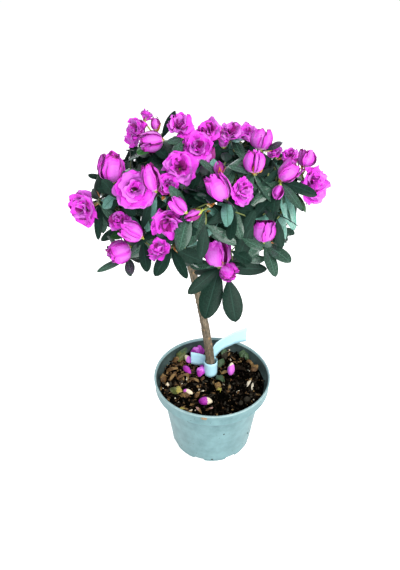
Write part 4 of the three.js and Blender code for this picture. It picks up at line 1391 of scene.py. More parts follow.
@dataclass
class StemLabel:
    """The blank paper strip: a loop round the stem's foot, a short flap and a long tail."""

    steps: int = 64
    spokes: int = 72

    def build(self) -> Batch:
        """The loop, the flap and the tail.

        Returns:
            The mesh.
        """
        batch = Batch()
        low = STEM_FOOT[2]
        high = low + LABEL_HEIGHT
        inner = LOOP_RADIUS - LABEL_THICKNESS
        heights = np.linspace(low, high, 7)
        section = [(LOOP_RADIUS, h) for h in heights] + [(inner, h) for h in heights[::-1]]
        section = np.array(section + section[:1])
        angles = turns(self.spokes)
        radius = section[:, :1] * (1 + 0.02 * np.sin(2 * angles + 0.4))
        grid = np.stack([STEM_FOOT[0] - 0.4 + radius * np.cos(angles),
                         STEM_FOOT[1] + 0.4 + radius * np.sin(angles),
                         np.broadcast_to(section[:, 1:], radius.shape)], axis=-1)
        batch.add(grid[None], 0, ring=True)
        back = STEM_FOOT[1] + 0.4 + LOOP_RADIUS - LABEL_THICKNESS / 2
        flap = ((2, back, low, high), (-8, back + 1, low + 1.5, high + 0.5),
                (-17, back + 3, low + 3, high + 2), (-26, back + 4, low + 4.5, high + 3))
        tail = ((-3, back, 90, 106), (4, back + 2.2, 101, 122), (13, 34, 108, 126),
                (24, 40, 110, 129), (34, 46, 110, 130), (45, 50, 109, 131))
        for stations, bow in ((flap, 0.5), (tail, 0.9)):
            batch.add(self.strip(np.array(stations, float), bow)[None], 0, ring=True, lids=True)
        return batch

    def strip(self, stations: Array, bow: float) -> Array:
        """A strip of paper through stations, as closed sections: out one face and back the other.

        The edges run through the stations on a Catmull-Rom curve.

        Args:
            stations: x, y, low and high z of each.
            bow: how far the middle of the strip stands out.

        Returns:
            Grid (steps, 12, 3).
        """
        before, after = 2 * stations[:1] - stations[1:2], 2 * stations[-1:] - stations[-2:-1]
        padded = np.concatenate([before, stations, after])
        place = np.linspace(0, len(stations) - 1 - 1e-9, self.steps)
        index = place.astype(int)
        t = (place - index)[:, None]
        a, b, c, d = (padded[index + step] for step in range(4))
        points = b + 0.5 * t * (c - a + t * (2 * a - 5 * b + 4 * c - d + t * (3 * (b - c) + d - a)))
        along = unit(np.gradient(points[:, :2], axis=0))
        outward = np.stack([-along[:, 1], along[:, 0], np.zeros(self.steps)], axis=-1)[:, None, :]
        rise = np.linspace(0, 1, 6)
        columns = np.concatenate([rise, rise[::-1]])[None, :]
        face = np.repeat([0.5, -0.5], 6)[None, :] * LABEL_THICKNESS
        height = points[:, 2:3] + (points[:, 3:4] - points[:, 2:3]) * columns
        ground = np.broadcast_to(points[:, None, :2], (self.steps, 12, 2))
        grid = np.concatenate([ground, height[..., None]], axis=-1)
        return grid + outward * (face + bow * np.sin(math.pi * columns))[..., None]


LEAF_SHARES = np.array([0.0, 0.1, 0.24, 0.38, 0.52, 0.66, 0.78, 0.88, 0.95, 1.0])


@dataclass
class Foliage:
    """Leaves: obovate blades with a sunk midrib, drooping tips and waved edges."""

    growth: Growth
    spread: tuple[float, ...] = (-1.0, -0.55, -0.05, 0.05, 0.55, 1.0)
    droop: float = 0.12
    edge_fall: float = 0.13
    midrib: float = 0.07
    edge_wave: float = 0.045
    shoots: tuple[float, ...] = (0.34, 0.55, 0.76)
    shoot_limit: float = 0.93
    side_leaves: int = 3
    leaves: list[Leaf] = field(default_factory=list)
    side_twigs: list[Array] = field(default_factory=list)

    def build(self) -> Batch:
        """All leaves of the sprays and of the side shoots in one mesh.

        Returns:
            The mesh.
        """
        for spray in self.growth.sprays:
            self.leaves.extend(spray.leaves)
        self.grow_side_shoots()
        batch = Batch()
        batch.add(self.blades(self.leaves), self.tones(self.leaves))
        return batch

    def grow_side_shoots(self) -> None:
        """Grows side shoots along each twig, kept within the head, with small leaves at their tips."""
        for index, spray in enumerate(self.growth.sprays):
            draws = Draws(SEED + 31 * index + 9)
            start = draws.next() * 2 * math.pi
            for number, share in enumerate(self.shoots):
                foot = evenly(spray.twig, np.array([share]))[0]
                along = unit(spray.base - foot)
                aside = across(along, start + number * 2.6)
                length = 15.0 + 9.0 * draws.next()
                tip = foot + unit(along * 0.7 + aside) * length
                inside = np.linalg.norm((tip - HEAD_CENTRE) / HEAD_AXES)
                if inside > self.shoot_limit:
                    tip = HEAD_CENTRE + (tip - HEAD_CENTRE) * self.shoot_limit / inside
                axis = unit(tip - foot + 0.2 * length * UP)
                bend = foot + along * 0.45 * length
                self.side_twigs.append(bezier(foot, bend, tip, 5))
                whorl = self.growth.whorl(tip, axis, SHOOT_LEAVES, draws, self.side_leaves)
                self.leaves.extend(leaf for leaf in whorl if not self.growth.strays(leaf))

    def blades(self, leaves: list[Leaf]) -> Array:
        """The blades as grids.

        Half width: width/2 * sin(pi * u^1.2)^0.58, over a narrow stalk at the root. Height over the
        chord: the tip falls by droop * length * u^2, the edges fall with the square of the distance
        from the midrib, which is sunk, a slow wave runs along them, and the blade is twisted a little.

        Args:
            leaves: their places and sizes.

        Returns:
            Grids (n, shares, spread, 3).
        """
        rng = np.random.default_rng(SEED)
        number = len(leaves)
        root, along, normal, length, width = (
            measures(leaves, name)[:, None, None]
            for name in ("root", "direction", "normal", "length", "width"))
        side = np.cross(along, normal)
        u = LEAF_SHARES[None, :, None]
        v = np.array(self.spread)[None, None, :]
        outline = np.maximum(np.sin(np.pi * np.clip((u - 0.05) / 0.95, 0.0, 1.0) ** 1.2), 0.0) ** 0.58
        stalk = 0.09 * (1 - smooth(u / 0.3)) + 0.02
        half = np.maximum(outline, stalk) * (1 - 0.96 * (u > 0.999)) * 0.94
        bend = self.droop * rng.uniform(0.3, 1.7, number)[:, None, None]
        phase = rng.uniform(0.0, 2 * math.pi, (number, 1, 1))
        twist = rng.uniform(-0.25, 0.25, (number, 1, 1))
        height = -bend * length * u ** 2 + 0.10 * length * np.sin(np.pi * u) * 0.25
        height = height - self.edge_fall * width * half * (v * v)
        height = height - self.midrib * width * half * np.exp(-(v / 0.3) ** 2)
        height = height + self.edge_wave * width * np.abs(v) * np.sin(2.3 * np.pi * u + phase + 1.5 * v)
        height = height + twist * v * half * width * 0.5 * u
        sideways = v * half * width / 2
        flat = root + along * (u * length)[..., None] + side * sideways[..., None]
        return flat + normal * height[..., None]

    def tones(self, leaves: list[Leaf]) -> Array:
        """The finish of each face: the leaf's tone, and the paler rib along its middle.

        Args:
            leaves: their tones.

        Returns:
            Finishes (n, rows, columns).
        """
        tones = measures(leaves, "tone")[:, None, None]
        rows, columns = len(LEAF_SHARES) - 1, len(self.spread) - 1
        rib = (np.arange(rows)[:, None] < rows - 1) & (np.arange(columns) == columns // 2)
        return np.where(rib, np.where(tones == DARK, Tone.RIB_DARK, Tone.RIB_LIGHT), tones)


@dataclass(frozen=True)
class Whorl:
    """One ring of petals of a bloom, in shares of the bloom's length and half its width.

    Angles, unrest and skew are in degrees. Skew makes the petals of one side steeper and higher,
    throat is how many rows of faces are deep, and seam is set where the petals stay closed. The
    throat's rows and the share 'deep' of the petals, larger in the inner rings, are painted shade.
    """

    count: int
    reach: float
    height: float
    angles: tuple[float, ...]
    width: float
    cup: float
    ruffle: float
    turn: float
    deep: float
    curl: float = 0.03
    unrest: float = 8.0
    spin: float = 0.0
    tip: float = 0.9
    dome: float = 0.38
    throat: int = 0
    seam: bool = False
    skew: float = 0.0
    folds: float = 0.025


OPEN_WHORLS = (
    Whorl(5, 1.02, 0.5, (14, 24, 52, 80, 98), 0.7, 0.35, 0.13, 0.0, 0.05,
          curl=0.02, unrest=22.0, spin=0.1, tip=0.94, dome=0.34, throat=1, skew=18.0),
    Whorl(4, 0.86, 0.74, (12, 18, 38, 62, 86), 0.68, 0.45, 0.15, 0.5, 0.05,
          unrest=26.0, spin=0.3, tip=0.94, dome=0.34, throat=1, skew=22.0),
    Whorl(3, 0.62, 0.86, (10, 14, 28, 50, 78), 0.64, 0.65, 0.15, 0.2, 0.1,
          unrest=24.0, spin=0.5, throat=2, skew=20.0),
    Whorl(3, 0.38, 0.94, (6, 10, 22, 40, 66), 0.46, 0.9, 0.15, 0.7, 0.2,
          unrest=20.0, spin=0.6, throat=3, skew=12.0),
    Whorl(2, 0.2, 0.98, (5, 6, 14, 26, 50), 0.34, 1.1, 0.16, 0.3, 0.35,
          unrest=14.0, spin=0.8, throat=4),
)
HALF_WHORLS = (
    Whorl(4, 0.98, 0.94, (70, 26, 0, -10, -12), 0.74, 0.95, 0.06, 0.0, 0.0,
          curl=0.12, unrest=10.0, spin=0.3, tip=0.8, dome=0.3, seam=True, folds=0.035),
    Whorl(4, 0.9, 1.0, (64, 26, 0, -12, -10), 0.6, 1.1, 0.07, 0.5, 0.08,
          curl=0.12, unrest=10.0, spin=0.3, tip=0.74, dome=0.34, seam=True, folds=0.035),
    Whorl(3, 0.6, 1.02, (50, 20, 0, -8, 16), 0.5, 1.3, 0.12, 0.25, 0.4,
          curl=0.08, spin=0.5),
    Whorl(3, 0.32, 0.98, (30, 10, 0, 0, 12), 0.32, 1.5, 0.14, 0.6, 0.8,
          curl=0.05, spin=0.7),
)
BUD_WHORLS = (
    Whorl(4, 1.0, 0.97, (50, 28, 0, -30, -44), 0.8, 1.0, 0.0, 0.0, 0.1,
          curl=0.06, unrest=3.0, spin=0.5, tip=0.2, dome=0.1, seam=True),
    Whorl(3, 0.84, 1.0, (46, 24, 0, -26, -38), 0.76, 1.2, 0.0, 0.5, 0.4,
          curl=0.06, unrest=3.0, spin=0.5, tip=0.2, dome=0.1, seam=True),
)
WHORLS = {OPEN: OPEN_WHORLS, HALF: HALF_WHORLS, BUD: BUD_WHORLS}
PETAL_SHARES = np.array([0.0, 0.12, 0.27, 0.43, 0.59, 0.74, 0.86, 0.95, 1.0])
LINE_STEPS = 24


@dataclass
class Blossom:
    """Petals, calyxes and pedicels of all blooms, and the shares of petals with each pattern."""

    growth: Growth
    columns: int = 11
    magenta_share: float = 0.62
    lilac_rims: float = 0.35
    magenta_feet: float = 0.4
    # Shares of petals painted deep along their sides and at closed tips: painted shade
    shaded_seams: float = 0.75
    shaded_edges: float = 0.18
    shaded_tips: float = 0.5

    def build_petals(self) -> Batch:
        """The petals of every bloom, whorl by whorl.

        Returns:
            The mesh.
        """
        batch = Batch()
        for kind, whorls in WHORLS.items():
            blooms = [bloom for spray in self.growth.sprays for bloom in spray.blooms if bloom.kind is kind]
            for number, whorl in enumerate(whorls):
                grids, finishes = self.petals(blooms, whorl, SEED + 17 * number + len(blooms))
                batch.add(grids, finishes)
        return batch

    def petals(self, blooms: list[Bloom], whorl: Whorl, seed: int) -> tuple[Array, Array]:
        """One ring of petals on each bloom.

        Across its middle line a petal is an arc whose bend is the whorl's cup over the bloom's radius,
        folded along its middle and beside it. The outline grows from the claw as a sine, narrows to
        whorl.tip, and ends in half an ellipse of whorl.dome with a notch. Waves along the rim stand
        along the normal, and the edges curl outwards by whorl.curl.

        Args:
            blooms: the blooms that get the ring.
            whorl: its measures.
            seed: chooses turns, widths, waves and tones.

        Returns:
            The grids and the finish of each face.
        """
        rng = np.random.default_rng(seed)
        hoods = np.random.default_rng(SEED + 29).uniform(-0.9, 0.9, len(blooms)) + math.pi / 2
        count = whorl.count
        number = len(blooms) * count
        foot, axis, length, width = (
            np.repeat(measures(blooms, name), count, axis=0)
            for name in ("foot", "facing", "length", "width"))
        radius = width / 2
        helper = np.where(np.abs(axis[:, 2:]) < 0.9, UP, VIEW_RIGHT)
        first = unit(np.cross(helper, axis))
        second = np.cross(axis, first)
        start = np.repeat(rng.uniform(0, 2 * math.pi, len(blooms)), count)
        step = 2 * math.pi / count
        bearing = start + whorl.turn * step + np.tile(np.arange(count), len(blooms)) * step
        bearing = bearing + rng.uniform(-0.28, 0.28, number) * step
        hooded = np.cos(bearing - np.repeat(hoods, count))
        angle, from_axis, along_axis = self.middle_lines(whorl, radius, length, hooded, rng)

        # The grid: u along the petal, v from edge to edge, closer together near the edges
        u = PETAL_SHARES[:, None]
        even = np.linspace(-1.0, 1.0, self.columns)[None, :]
        v = 0.5 * (even + np.sin(math.pi / 2 * even))
        phases = rng.uniform(0, 2 * math.pi, (5, number, 1, 1))
        notch = 0.5 * np.exp(-((v - 0.25 * np.sin(phases[4])) / 0.18) ** 2)
        notch = notch + 0.3 * (1 + np.sin(6.4 * v + phases[3]))
        rim = whorl.dome * (1 - np.sqrt(1 - v * v)) + whorl.ruffle * notch
        place = u * (1 - rim * u * u)
        low = np.minimum((place * LINE_STEPS).astype(int), LINE_STEPS - 1)
        part = place * LINE_STEPS - low
        owner = np.arange(number)[:, None, None]

        def at(values: Array) -> Array:
            """The values of the middle lines at each point of the grid."""
            return values[owner, low] * (1 - part) + values[owner, low + 1] * part

        turned = bearing[:, None, None] + whorl.spin * place
        outward = (first[:, None, None, :] * np.cos(turned)[..., None]
                   + second[:, None, None, :] * np.sin(turned)[..., None])
        upright = axis[:, None, None, :]
        tangent = np.cross(np.broadcast_to(upright, outward.shape), outward)
        lean = at(angle)
        inward = -outward * np.cos(lean)[..., None] + upright * np.sin(lean)[..., None]
        line = foot[:, None, None, :] + outward * at(from_axis)[..., None]
        line = line + upright * at(along_axis)[..., None]

        growing = 0.24 + 0.76 * np.sin(math.pi / 2 * np.clip(u / 0.62, 0.0, 1.0)) ** 1.2
        shape = growing * (1 - (1 - whorl.tip) * smooth((u - 0.6) / 0.4))
        size = radius[:, None, None]
        spread = 0.28 if whorl.seam else 0.15
        half = shape[None] * whorl.width * size * rng.uniform(1 - spread, 1 + spread, (number, 1, 1))
        bend = whorl.cup / size * (1.1 - 0.5 * u[None])
        arc = bend * half * v
        fold = rng.uniform(-0.05, 0.12, (number, 1, 1))
        wave = np.abs(v) ** 1.5 * np.sin(6.5 * u + phases[0] + 1.4 * v)
        wave = wave + u ** 2 * np.sin(4.4 * v + phases[1]) + 0.4 * u ** 3 * np.sin(9 * v + phases[2])
        groove = -0.045 * np.exp(-(v / 0.2) ** 2) * u ** 0.5
        groove = groove + whorl.folds * np.sin(7.5 * v + 0.8 * np.sin(phases[3]) + 1.2 * u) * u ** 0.7
        edges = (0.08 * v - whorl.curl * np.abs(v) ** 3 + fold * np.abs(v)) * u ** 0.5
        lift = (1 - np.cos(arc)) / bend + size * (whorl.ruffle * u ** 2 * wave + groove + edges)
        grids = line + tangent * (np.sin(arc) / bend)[..., None] + inward * lift[..., None]
        return grids, self.petal_tones(number, whorl, rng)

    def middle_lines(self, whorl: Whorl, radius: Array, length: Array, hooded: Array,
                     rng: Generator) -> tuple[Array, Array, Array]:
        """The middle lines of a ring's petals at even steps from the claw to the tip.

        Each follows whorl.angles from the bloom's axis, and is scaled to the whorl's reach and height.

        Args:
            whorl: its measures.
            radius: half the bloom's width, for each petal.
            length: the bloom's length, for each petal.
            hooded: from 1 on the hood, the steeper and higher side, to -1 across from it.
            rng: varies the angles and the reach.

        Returns:
            Angle, distance from the axis and height, each (n, LINE_STEPS + 1).
        """
        number = len(radius)
        steps = np.linspace(0.0, 1.0, LINE_STEPS + 1)
        knots = np.linspace(0.0, 1.0, len(whorl.angles))
        shift = rng.uniform(-whorl.unrest, whorl.unrest, (number, 1)) - whorl.skew * hooded[:, None]
        shift = shift * steps[None, :]
        angle = np.radians(np.interp(steps, knots, whorl.angles)[None, :] + shift)
        middle = (angle[:, 1:] + angle[:, :-1]) / 2
        from_axis, along_axis = (np.pad(np.cumsum(side(middle), axis=1), ((0, 0), (1, 0)))
                                 for side in (np.sin, np.cos))
        reach = whorl.reach * radius * rng.uniform(0.84, 1.06, number) * (1 - 0.006 * whorl.skew * hooded)
        height = whorl.height * length * rng.uniform(0.9, 1.02, number) * (1 + 0.008 * whorl.skew * hooded)
        from_axis = from_axis / from_axis.max(axis=1, keepdims=True) * reach[:, None] + 0.8
        along_axis = along_axis / along_axis.max(axis=1, keepdims=True) * height[:, None]
        return angle, from_axis, along_axis

    def petal_tones(self, number: int, whorl: Whorl, rng: Generator) -> Array:
        """The tone of each face: lilac, magenta or deep by petal, and deep along some edges.

        The throat is deep, or else the claw pale; deep is painted shade, there and along some edges.
        Some magenta petals have a lilac rim, some lilac ones a magenta foot, and the magenta of open petals
        is bright, a painted light.

        Args:
            number: how many petals.
            whorl: their measures.
            rng: deals out the tones.

        Returns:
            Tones (number, rows, columns).
        """
        draw = rng.uniform(size=(number, 1, 1))
        tone = np.where(draw < whorl.deep + self.magenta_share, PetalTone.MAGENTA, PetalTone.LILAC)
        # Whole petals deep by the ring's share, larger inwards: painted shade
        tone = np.where(draw < whorl.deep, PetalTone.DEEP_SHADE, tone)
        rows, columns = len(PETAL_SHARES) - 1, self.columns - 1
        row = np.arange(rows)[None, :, None]
        column = np.arange(columns)[None, None, :]
        from_edge = np.minimum(column, columns - 1 - column)
        # Painted shade in the throat
        if whorl.throat:
            tone = np.where(row < whorl.throat, PetalTone.DEEP_SHADE, tone)
        else:
            tone = np.where((row == 1) & (tone != PetalTone.DEEP_SHADE), PetalTone.LILAC, tone)
            tone = np.where(row == 0, PetalTone.PALE, tone)
        change = rng.uniform(size=(number, 1, 1))
        dark = rng.uniform(size=(number, 1, 2)) < (self.shaded_seams if whorl.seam else self.shaded_edges)
        if whorl.seam:
            tone = self.closed_tones(tone, row, from_edge, change, rng)
        else:
            edge = (row >= rows - 2) | (from_edge == 0)
            rim = (tone == PetalTone.MAGENTA) & edge & (change < self.lilac_rims)
            tone = np.where(rim, PetalTone.LILAC, tone)
            foot = (tone == PetalTone.LILAC) & (row > 0) & (row < 3) & (change > 1 - self.magenta_feet)
            # The magenta of open petals becomes the brighter copy: painted light
            tone = np.where(foot | (tone == PetalTone.MAGENTA), PetalTone.BRIGHT_LIT, tone)
        # Painted shade along some petals' sides
        side = ((column == 0) & dark[:, :, :1]) | ((column == columns - 1) & dark[:, :, 1:])
        tone = np.where(side & (row > 1) & (row < rows - 1), PetalTone.DEEP_SHADE, tone)
        return np.broadcast_to(tone, (number, rows, columns))

    def closed_tones(self, tone: Array, row: Array, from_edge: Array, change: Array,
                     rng: Generator) -> Array:
        """Petals that stay closed: a lilac middle, a soft step, and magenta sides and tips.

        The lilac middle is a painted highlight, the soft step and the magenta sides and tips painted shade.

        Args:
            tone: the tones so far, of which the deep ones and the claw stay.
            row: the number of each row.
            from_edge: how far each column is from the edge.
            change: a draw for each petal, for wider sides and a magenta tip.
            rng: deals out deep tips.

        Returns:
            The tones.
        """
        # Painted highlight in lilac down a closed petal's middle, painted shade in soft and magenta towards
        # the sides
        inner = from_edge - 2 - (change < 0.5)
        inner = np.where(change > 0.4, np.minimum(inner, 5 - row), inner)
        plain = np.where(inner == 0, PetalTone.SOFT_SHADING, PetalTone.MAGENTA)
        plain = np.where(inner > 0, PetalTone.LILAC, plain)
        tone = np.where((tone != PetalTone.DEEP_SHADE) & (row > 0), plain, tone)
        # Painted shade on some closed petals' tips
        tip = (row == row.max()) & (from_edge > 1)
        return np.where(tip & (rng.uniform(size=change.shape) < self.shaded_tips), PetalTone.DEEP_SHADE, tone)

    def build_stalks(self) -> Batch:
        """Pedicels and five-pointed calyxes, and brown scales at the foot of buds.

        Returns:
            The mesh.
        """
        batch = Batch()
        pairs = [(spray, bloom) for spray in self.growth.sprays for bloom in spray.blooms]
        lines = np.array([bezier(spray.base - spray.axis * 1.0, bloom.foot - bloom.facing * 3.0,
                                 bloom.foot + bloom.facing * 0.6, 6) for spray, bloom in pairs])
        radii = np.broadcast_to(np.array([0.9, 0.75, 0.7, 0.75, 0.95, 1.5]), lines.shape[:2])
        batch.add(tubes(lines, radii, 6), StalkFinish.GREEN, ring=True, lids=True)
        rng = np.random.default_rng(SEED + 3)
        for spray, bloom in pairs:
            for number in range(5):
                angle = number * 2 * math.pi / 5 + rng.uniform(-0.2, 0.2)
                outward = across(bloom.facing, angle)
                brown = rng.uniform() < (0.15 if bloom.kind is OPEN else 0.34)
                spread = 0.45 if bloom.kind is OPEN else 0.75
                reach = 7.0 if brown else 5.2
                share = np.linspace(0.0, 1.0, 4)
                line = (bloom.foot - bloom.facing * 0.6 + outward * 0.9
                        + (outward * spread + bloom.facing)[None, :] * (reach * share)[:, None])
                tangent = np.cross(bloom.facing, outward)
                half = np.array([0.8, 0.95, 0.6, 0.05]) * (1.7 if brown else 1.0)
                across_v = np.linspace(-1.0, 1.0, 3)
                grid = line[:, None, :] + tangent * (half[:, None] * across_v[None, :])[..., None]
                batch.add(grid[None], StalkFinish.BROWN if brown else StalkFinish.GREEN)
        self.add_scales(batch)
        return batch

    def add_scales(self, batch: Batch) -> None:
        """Adds two or three papery bud scales round each whorl that bears blooms.

        Args:
            batch: the mesh that they join.
        """
        rng = np.random.default_rng(SEED + 4)
        share = np.linspace(0.0, 1.0, 5)[:, None]
        across_v = np.linspace(-1.0, 1.0, 5)[None, :]
        for spray in self.growth.sprays:
            for _ in range(rng.integers(2, 4) if spray.blooms else 0):
                outward = across(spray.axis, rng.uniform(0, 2 * math.pi))
                along = unit(spray.axis + outward * rng.uniform(0.2, 1.1))
                tangent = unit(np.cross(along, outward))
                cup = np.cross(tangent, along)
                length, width = rng.uniform(5.5, 9.0), rng.uniform(3.0, 5.0)
                half = width / 2 * np.sin(math.pi * (0.12 + 0.86 * share)) ** 0.7
                bow = 0.5 * half * across_v ** 2 + 0.8 * share ** 2
                grid = (spray.base + outward * 1.6 + along * (1.0 + length * share)[..., None]
                        + tangent * (half * across_v)[..., None] + cup * bow[..., None])
                cream = share[:-1] < rng.uniform(0.0, 0.5)
                batch.add(grid[None], np.where(cream, StalkFinish.CREAM, StalkFinish.BROWN)[None])


@dataclass
class Wood:
    """Stem, boughs and twigs."""

    growth: Growth
    stem_sides: int = 44
    stem_rings: int = 300
    scars: int = 46
    bough_sides: int = 12
    stalk_radii: Span = (1.25, 1.0)
    shoot_radii: Span = (0.75, 0.6)
    green_from: int = 9

    def build_bark(self) -> Batch:
        """The stem and the boughs with the relief of bark.

        Returns:
            The mesh.
        """
        batch = Batch()
        heights = np.linspace(STEM_FOOT[2], FORK_HEIGHT, self.stem_rings)
        share = (heights - STEM_FOOT[2]) / (FORK_HEIGHT - STEM_FOOT[2])
        rise = heights - STEM_FOOT[2]
        radius = STEM_RADIUS + (FORK_RADIUS - STEM_RADIUS) * share
        radius = radius + FLARE_RADIUS * np.exp(-rise / FLARE_HEIGHT)
        line = stem_at(heights)
        angles = turns(self.stem_sides)
        radii = self.relief(heights[:, None], angles[None, :], radius[:, None])
        radii[-1] *= 0.8
        batch.add(tubes(line[None], radii[None], self.stem_sides), ring=True, lids=True)
        for number, bough in enumerate(self.growth.boughs):
            steps = len(bough)
            taper = BOUGH_RADIUS - BOUGH_TAPER * np.linspace(0, 1, steps)
            taper = taper * (1 + 0.5 * np.exp(-np.arange(steps) / 2.5))
            rough = 1 + 0.09 * np.sin(
                3 * turns(self.bough_sides) + number + 0.7 * np.arange(steps)[:, None])
            tube = tubes(bough[None], (taper[:, None] * rough)[None], self.bough_sides)
            batch.add(tube, ring=True, lids=True)
        return batch

    def relief(self, height: Array, angle: Array, radius: Array) -> Array:
        """The stem's radius: long shallow ridges, a fine grain, and scattered leaf scars.

        Args:
            height: of the rings.
            angle: round the stem.
            radius: the plain stem's, for each ring.

        Returns:
            The radius at each height and angle.
        """
        rng = np.random.default_rng(SEED + 11)
        across_x, across_y = np.cos(angle), np.sin(angle)
        ring = np.stack(np.broadcast_arrays(3.2 * across_x, 3.2 * across_y, height * 0.25), axis=-1)
        fine = np.stack(np.broadcast_arrays(5 * across_x, 5 * across_y, height), axis=-1)
        radii = radius * (1 + 0.06 * ripples(ring, 3.4, 5) + 0.035 * ripples(fine, 2.2, 6))
        for _ in range(self.scars):
            centre_height = rng.uniform(STEM_FOOT[2] + 6, FORK_HEIGHT - 6)
            centre_angle = rng.uniform(0, 2 * math.pi)
            size = rng.uniform(1.0, 2.2)
            turn = np.angle(np.exp(1j * (angle - centre_angle))) * radius
            radii = radii + 0.55 * rng.uniform(0.4, 1.0) * np.exp(
                -((height - centre_height) / size) ** 2 - (turn / (size * 1.2)) ** 2)
        return radii

    def material(self) -> Material:
        """Grey-brown bark: streaks along the stem, pale flakes and orange-tan spots.

        Returns:
            The new material.
        """
        surface = Surface("bark_grey_brown", Roughness=0.8, Specular_IOR_Level=0.3)
        stretch = surface.node("Mapping", surface.place, "Vector", Scale=(1.0, 1.0, 0.22))
        streaks = surface.noise(stretch.outputs["Vector"], Scale=520.0, Detail=5.0, Roughness=0.7)
        stops = ((0.3, (42, 38, 33)), (0.43, (88, 80, 66)), (0.57, (118, 106, 88)), (0.72, (162, 148, 128)))
        bark = surface.ramp(streaks, [(position, linear(*colour)) for position, colour in stops])
        spots = surface.node("TexVoronoi", surface.place, "Vector", Scale=130.0)
        patch = surface.spread(spots.outputs["Distance"], From_Min=0.16, From_Max=0.27,
                               To_Min=0.6, To_Max=0.0)
        spotted = surface.mix("MIX", patch, bark, linear(168, 132, 92))
        surface.join(spotted, surface.inputs["Base Color"])
        surface.relief(streaks, 0.6, 0.6)
        return surface.material

    def build_twigs(self, side_twigs: list[Array]) -> Batch:
        """Stalks and twigs that taper towards their sprays, and the side shoots.

        Args:
            side_twigs: the side shoots' middle lines.

        Returns:
            The mesh.
        """
        batch = Batch()
        for stalk in self.growth.stalks:
            line = evenly(stalk, np.linspace(0, 1, 9))
            radii = np.linspace(*self.stalk_radii, len(line))
            batch.add(tubes(line[None], radii[None], 8), TwigFinish.BARK, ring=True, lids=True)
        lines = np.array([spray.twig for spray in self.growth.sprays])
        steps = lines.shape[1]
        knots = 1 + 0.12 * np.sin(np.arange(steps) * 2.4)
        radii = np.interp(np.linspace(0, 1, steps), [0, 0.8, 1.0], [1.15, 0.85, 1.5]) * knots
        young = np.arange(steps - 1) >= self.green_from
        finish = np.where(young, TwigFinish.GREEN, TwigFinish.BARK)[None, :, None]
        batch.add(tubes(lines, np.broadcast_to(radii, lines.shape[:2]), 7), finish, ring=True, lids=True)
        shoots = np.array(side_twigs)
        radii = np.broadcast_to(np.linspace(*self.shoot_radii, shoots.shape[1]), shoots.shape[:2])
        batch.add(tubes(shoots, radii, 5), TwigFinish.GREEN, ring=True, lids=True)
        return batch


class PotFinish(IntEnum):
    """The shell's finishes, in the order of POT_COLOURS."""

    WALL = 0
    INNER = 1
    LIP = 2


POT_COLOURS = (
    ("pot_turquoise_plastic", linear(84, 122, 126), linear(114, 152, 156)),
    # The inner wall: darker grey-green, painted shade inside the pot
    ("pot_inner_wall_painted_shade", linear(38, 52, 50), linear(72, 92, 90)),
    # The lip: lighter, a painted highlight along the rim
    ("pot_lip_painted_highlight", linear(124, 156, 158), linear(166, 194, 196)),
)
SPECK_FINISHES = (
    Finish("speck_dark", linear(34, 38, 34), 0.8),
    Finish("speck_tan", linear(146, 120, 88), 0.7, 0.4, 1.0, mottle=0.25),
)

# The specks that show plainly: bearing in degrees, height, width and height of each, the tan one last
PLAIN_SPECKS = np.array([
    (-76.3, 55.7, 2.6, 3.2), (-89.8, 4.6, 3.0, 2.0), (-34.0, 28.0, 2.6, 3.0), (-98.4, 96.4, 6.5, 4.6)])


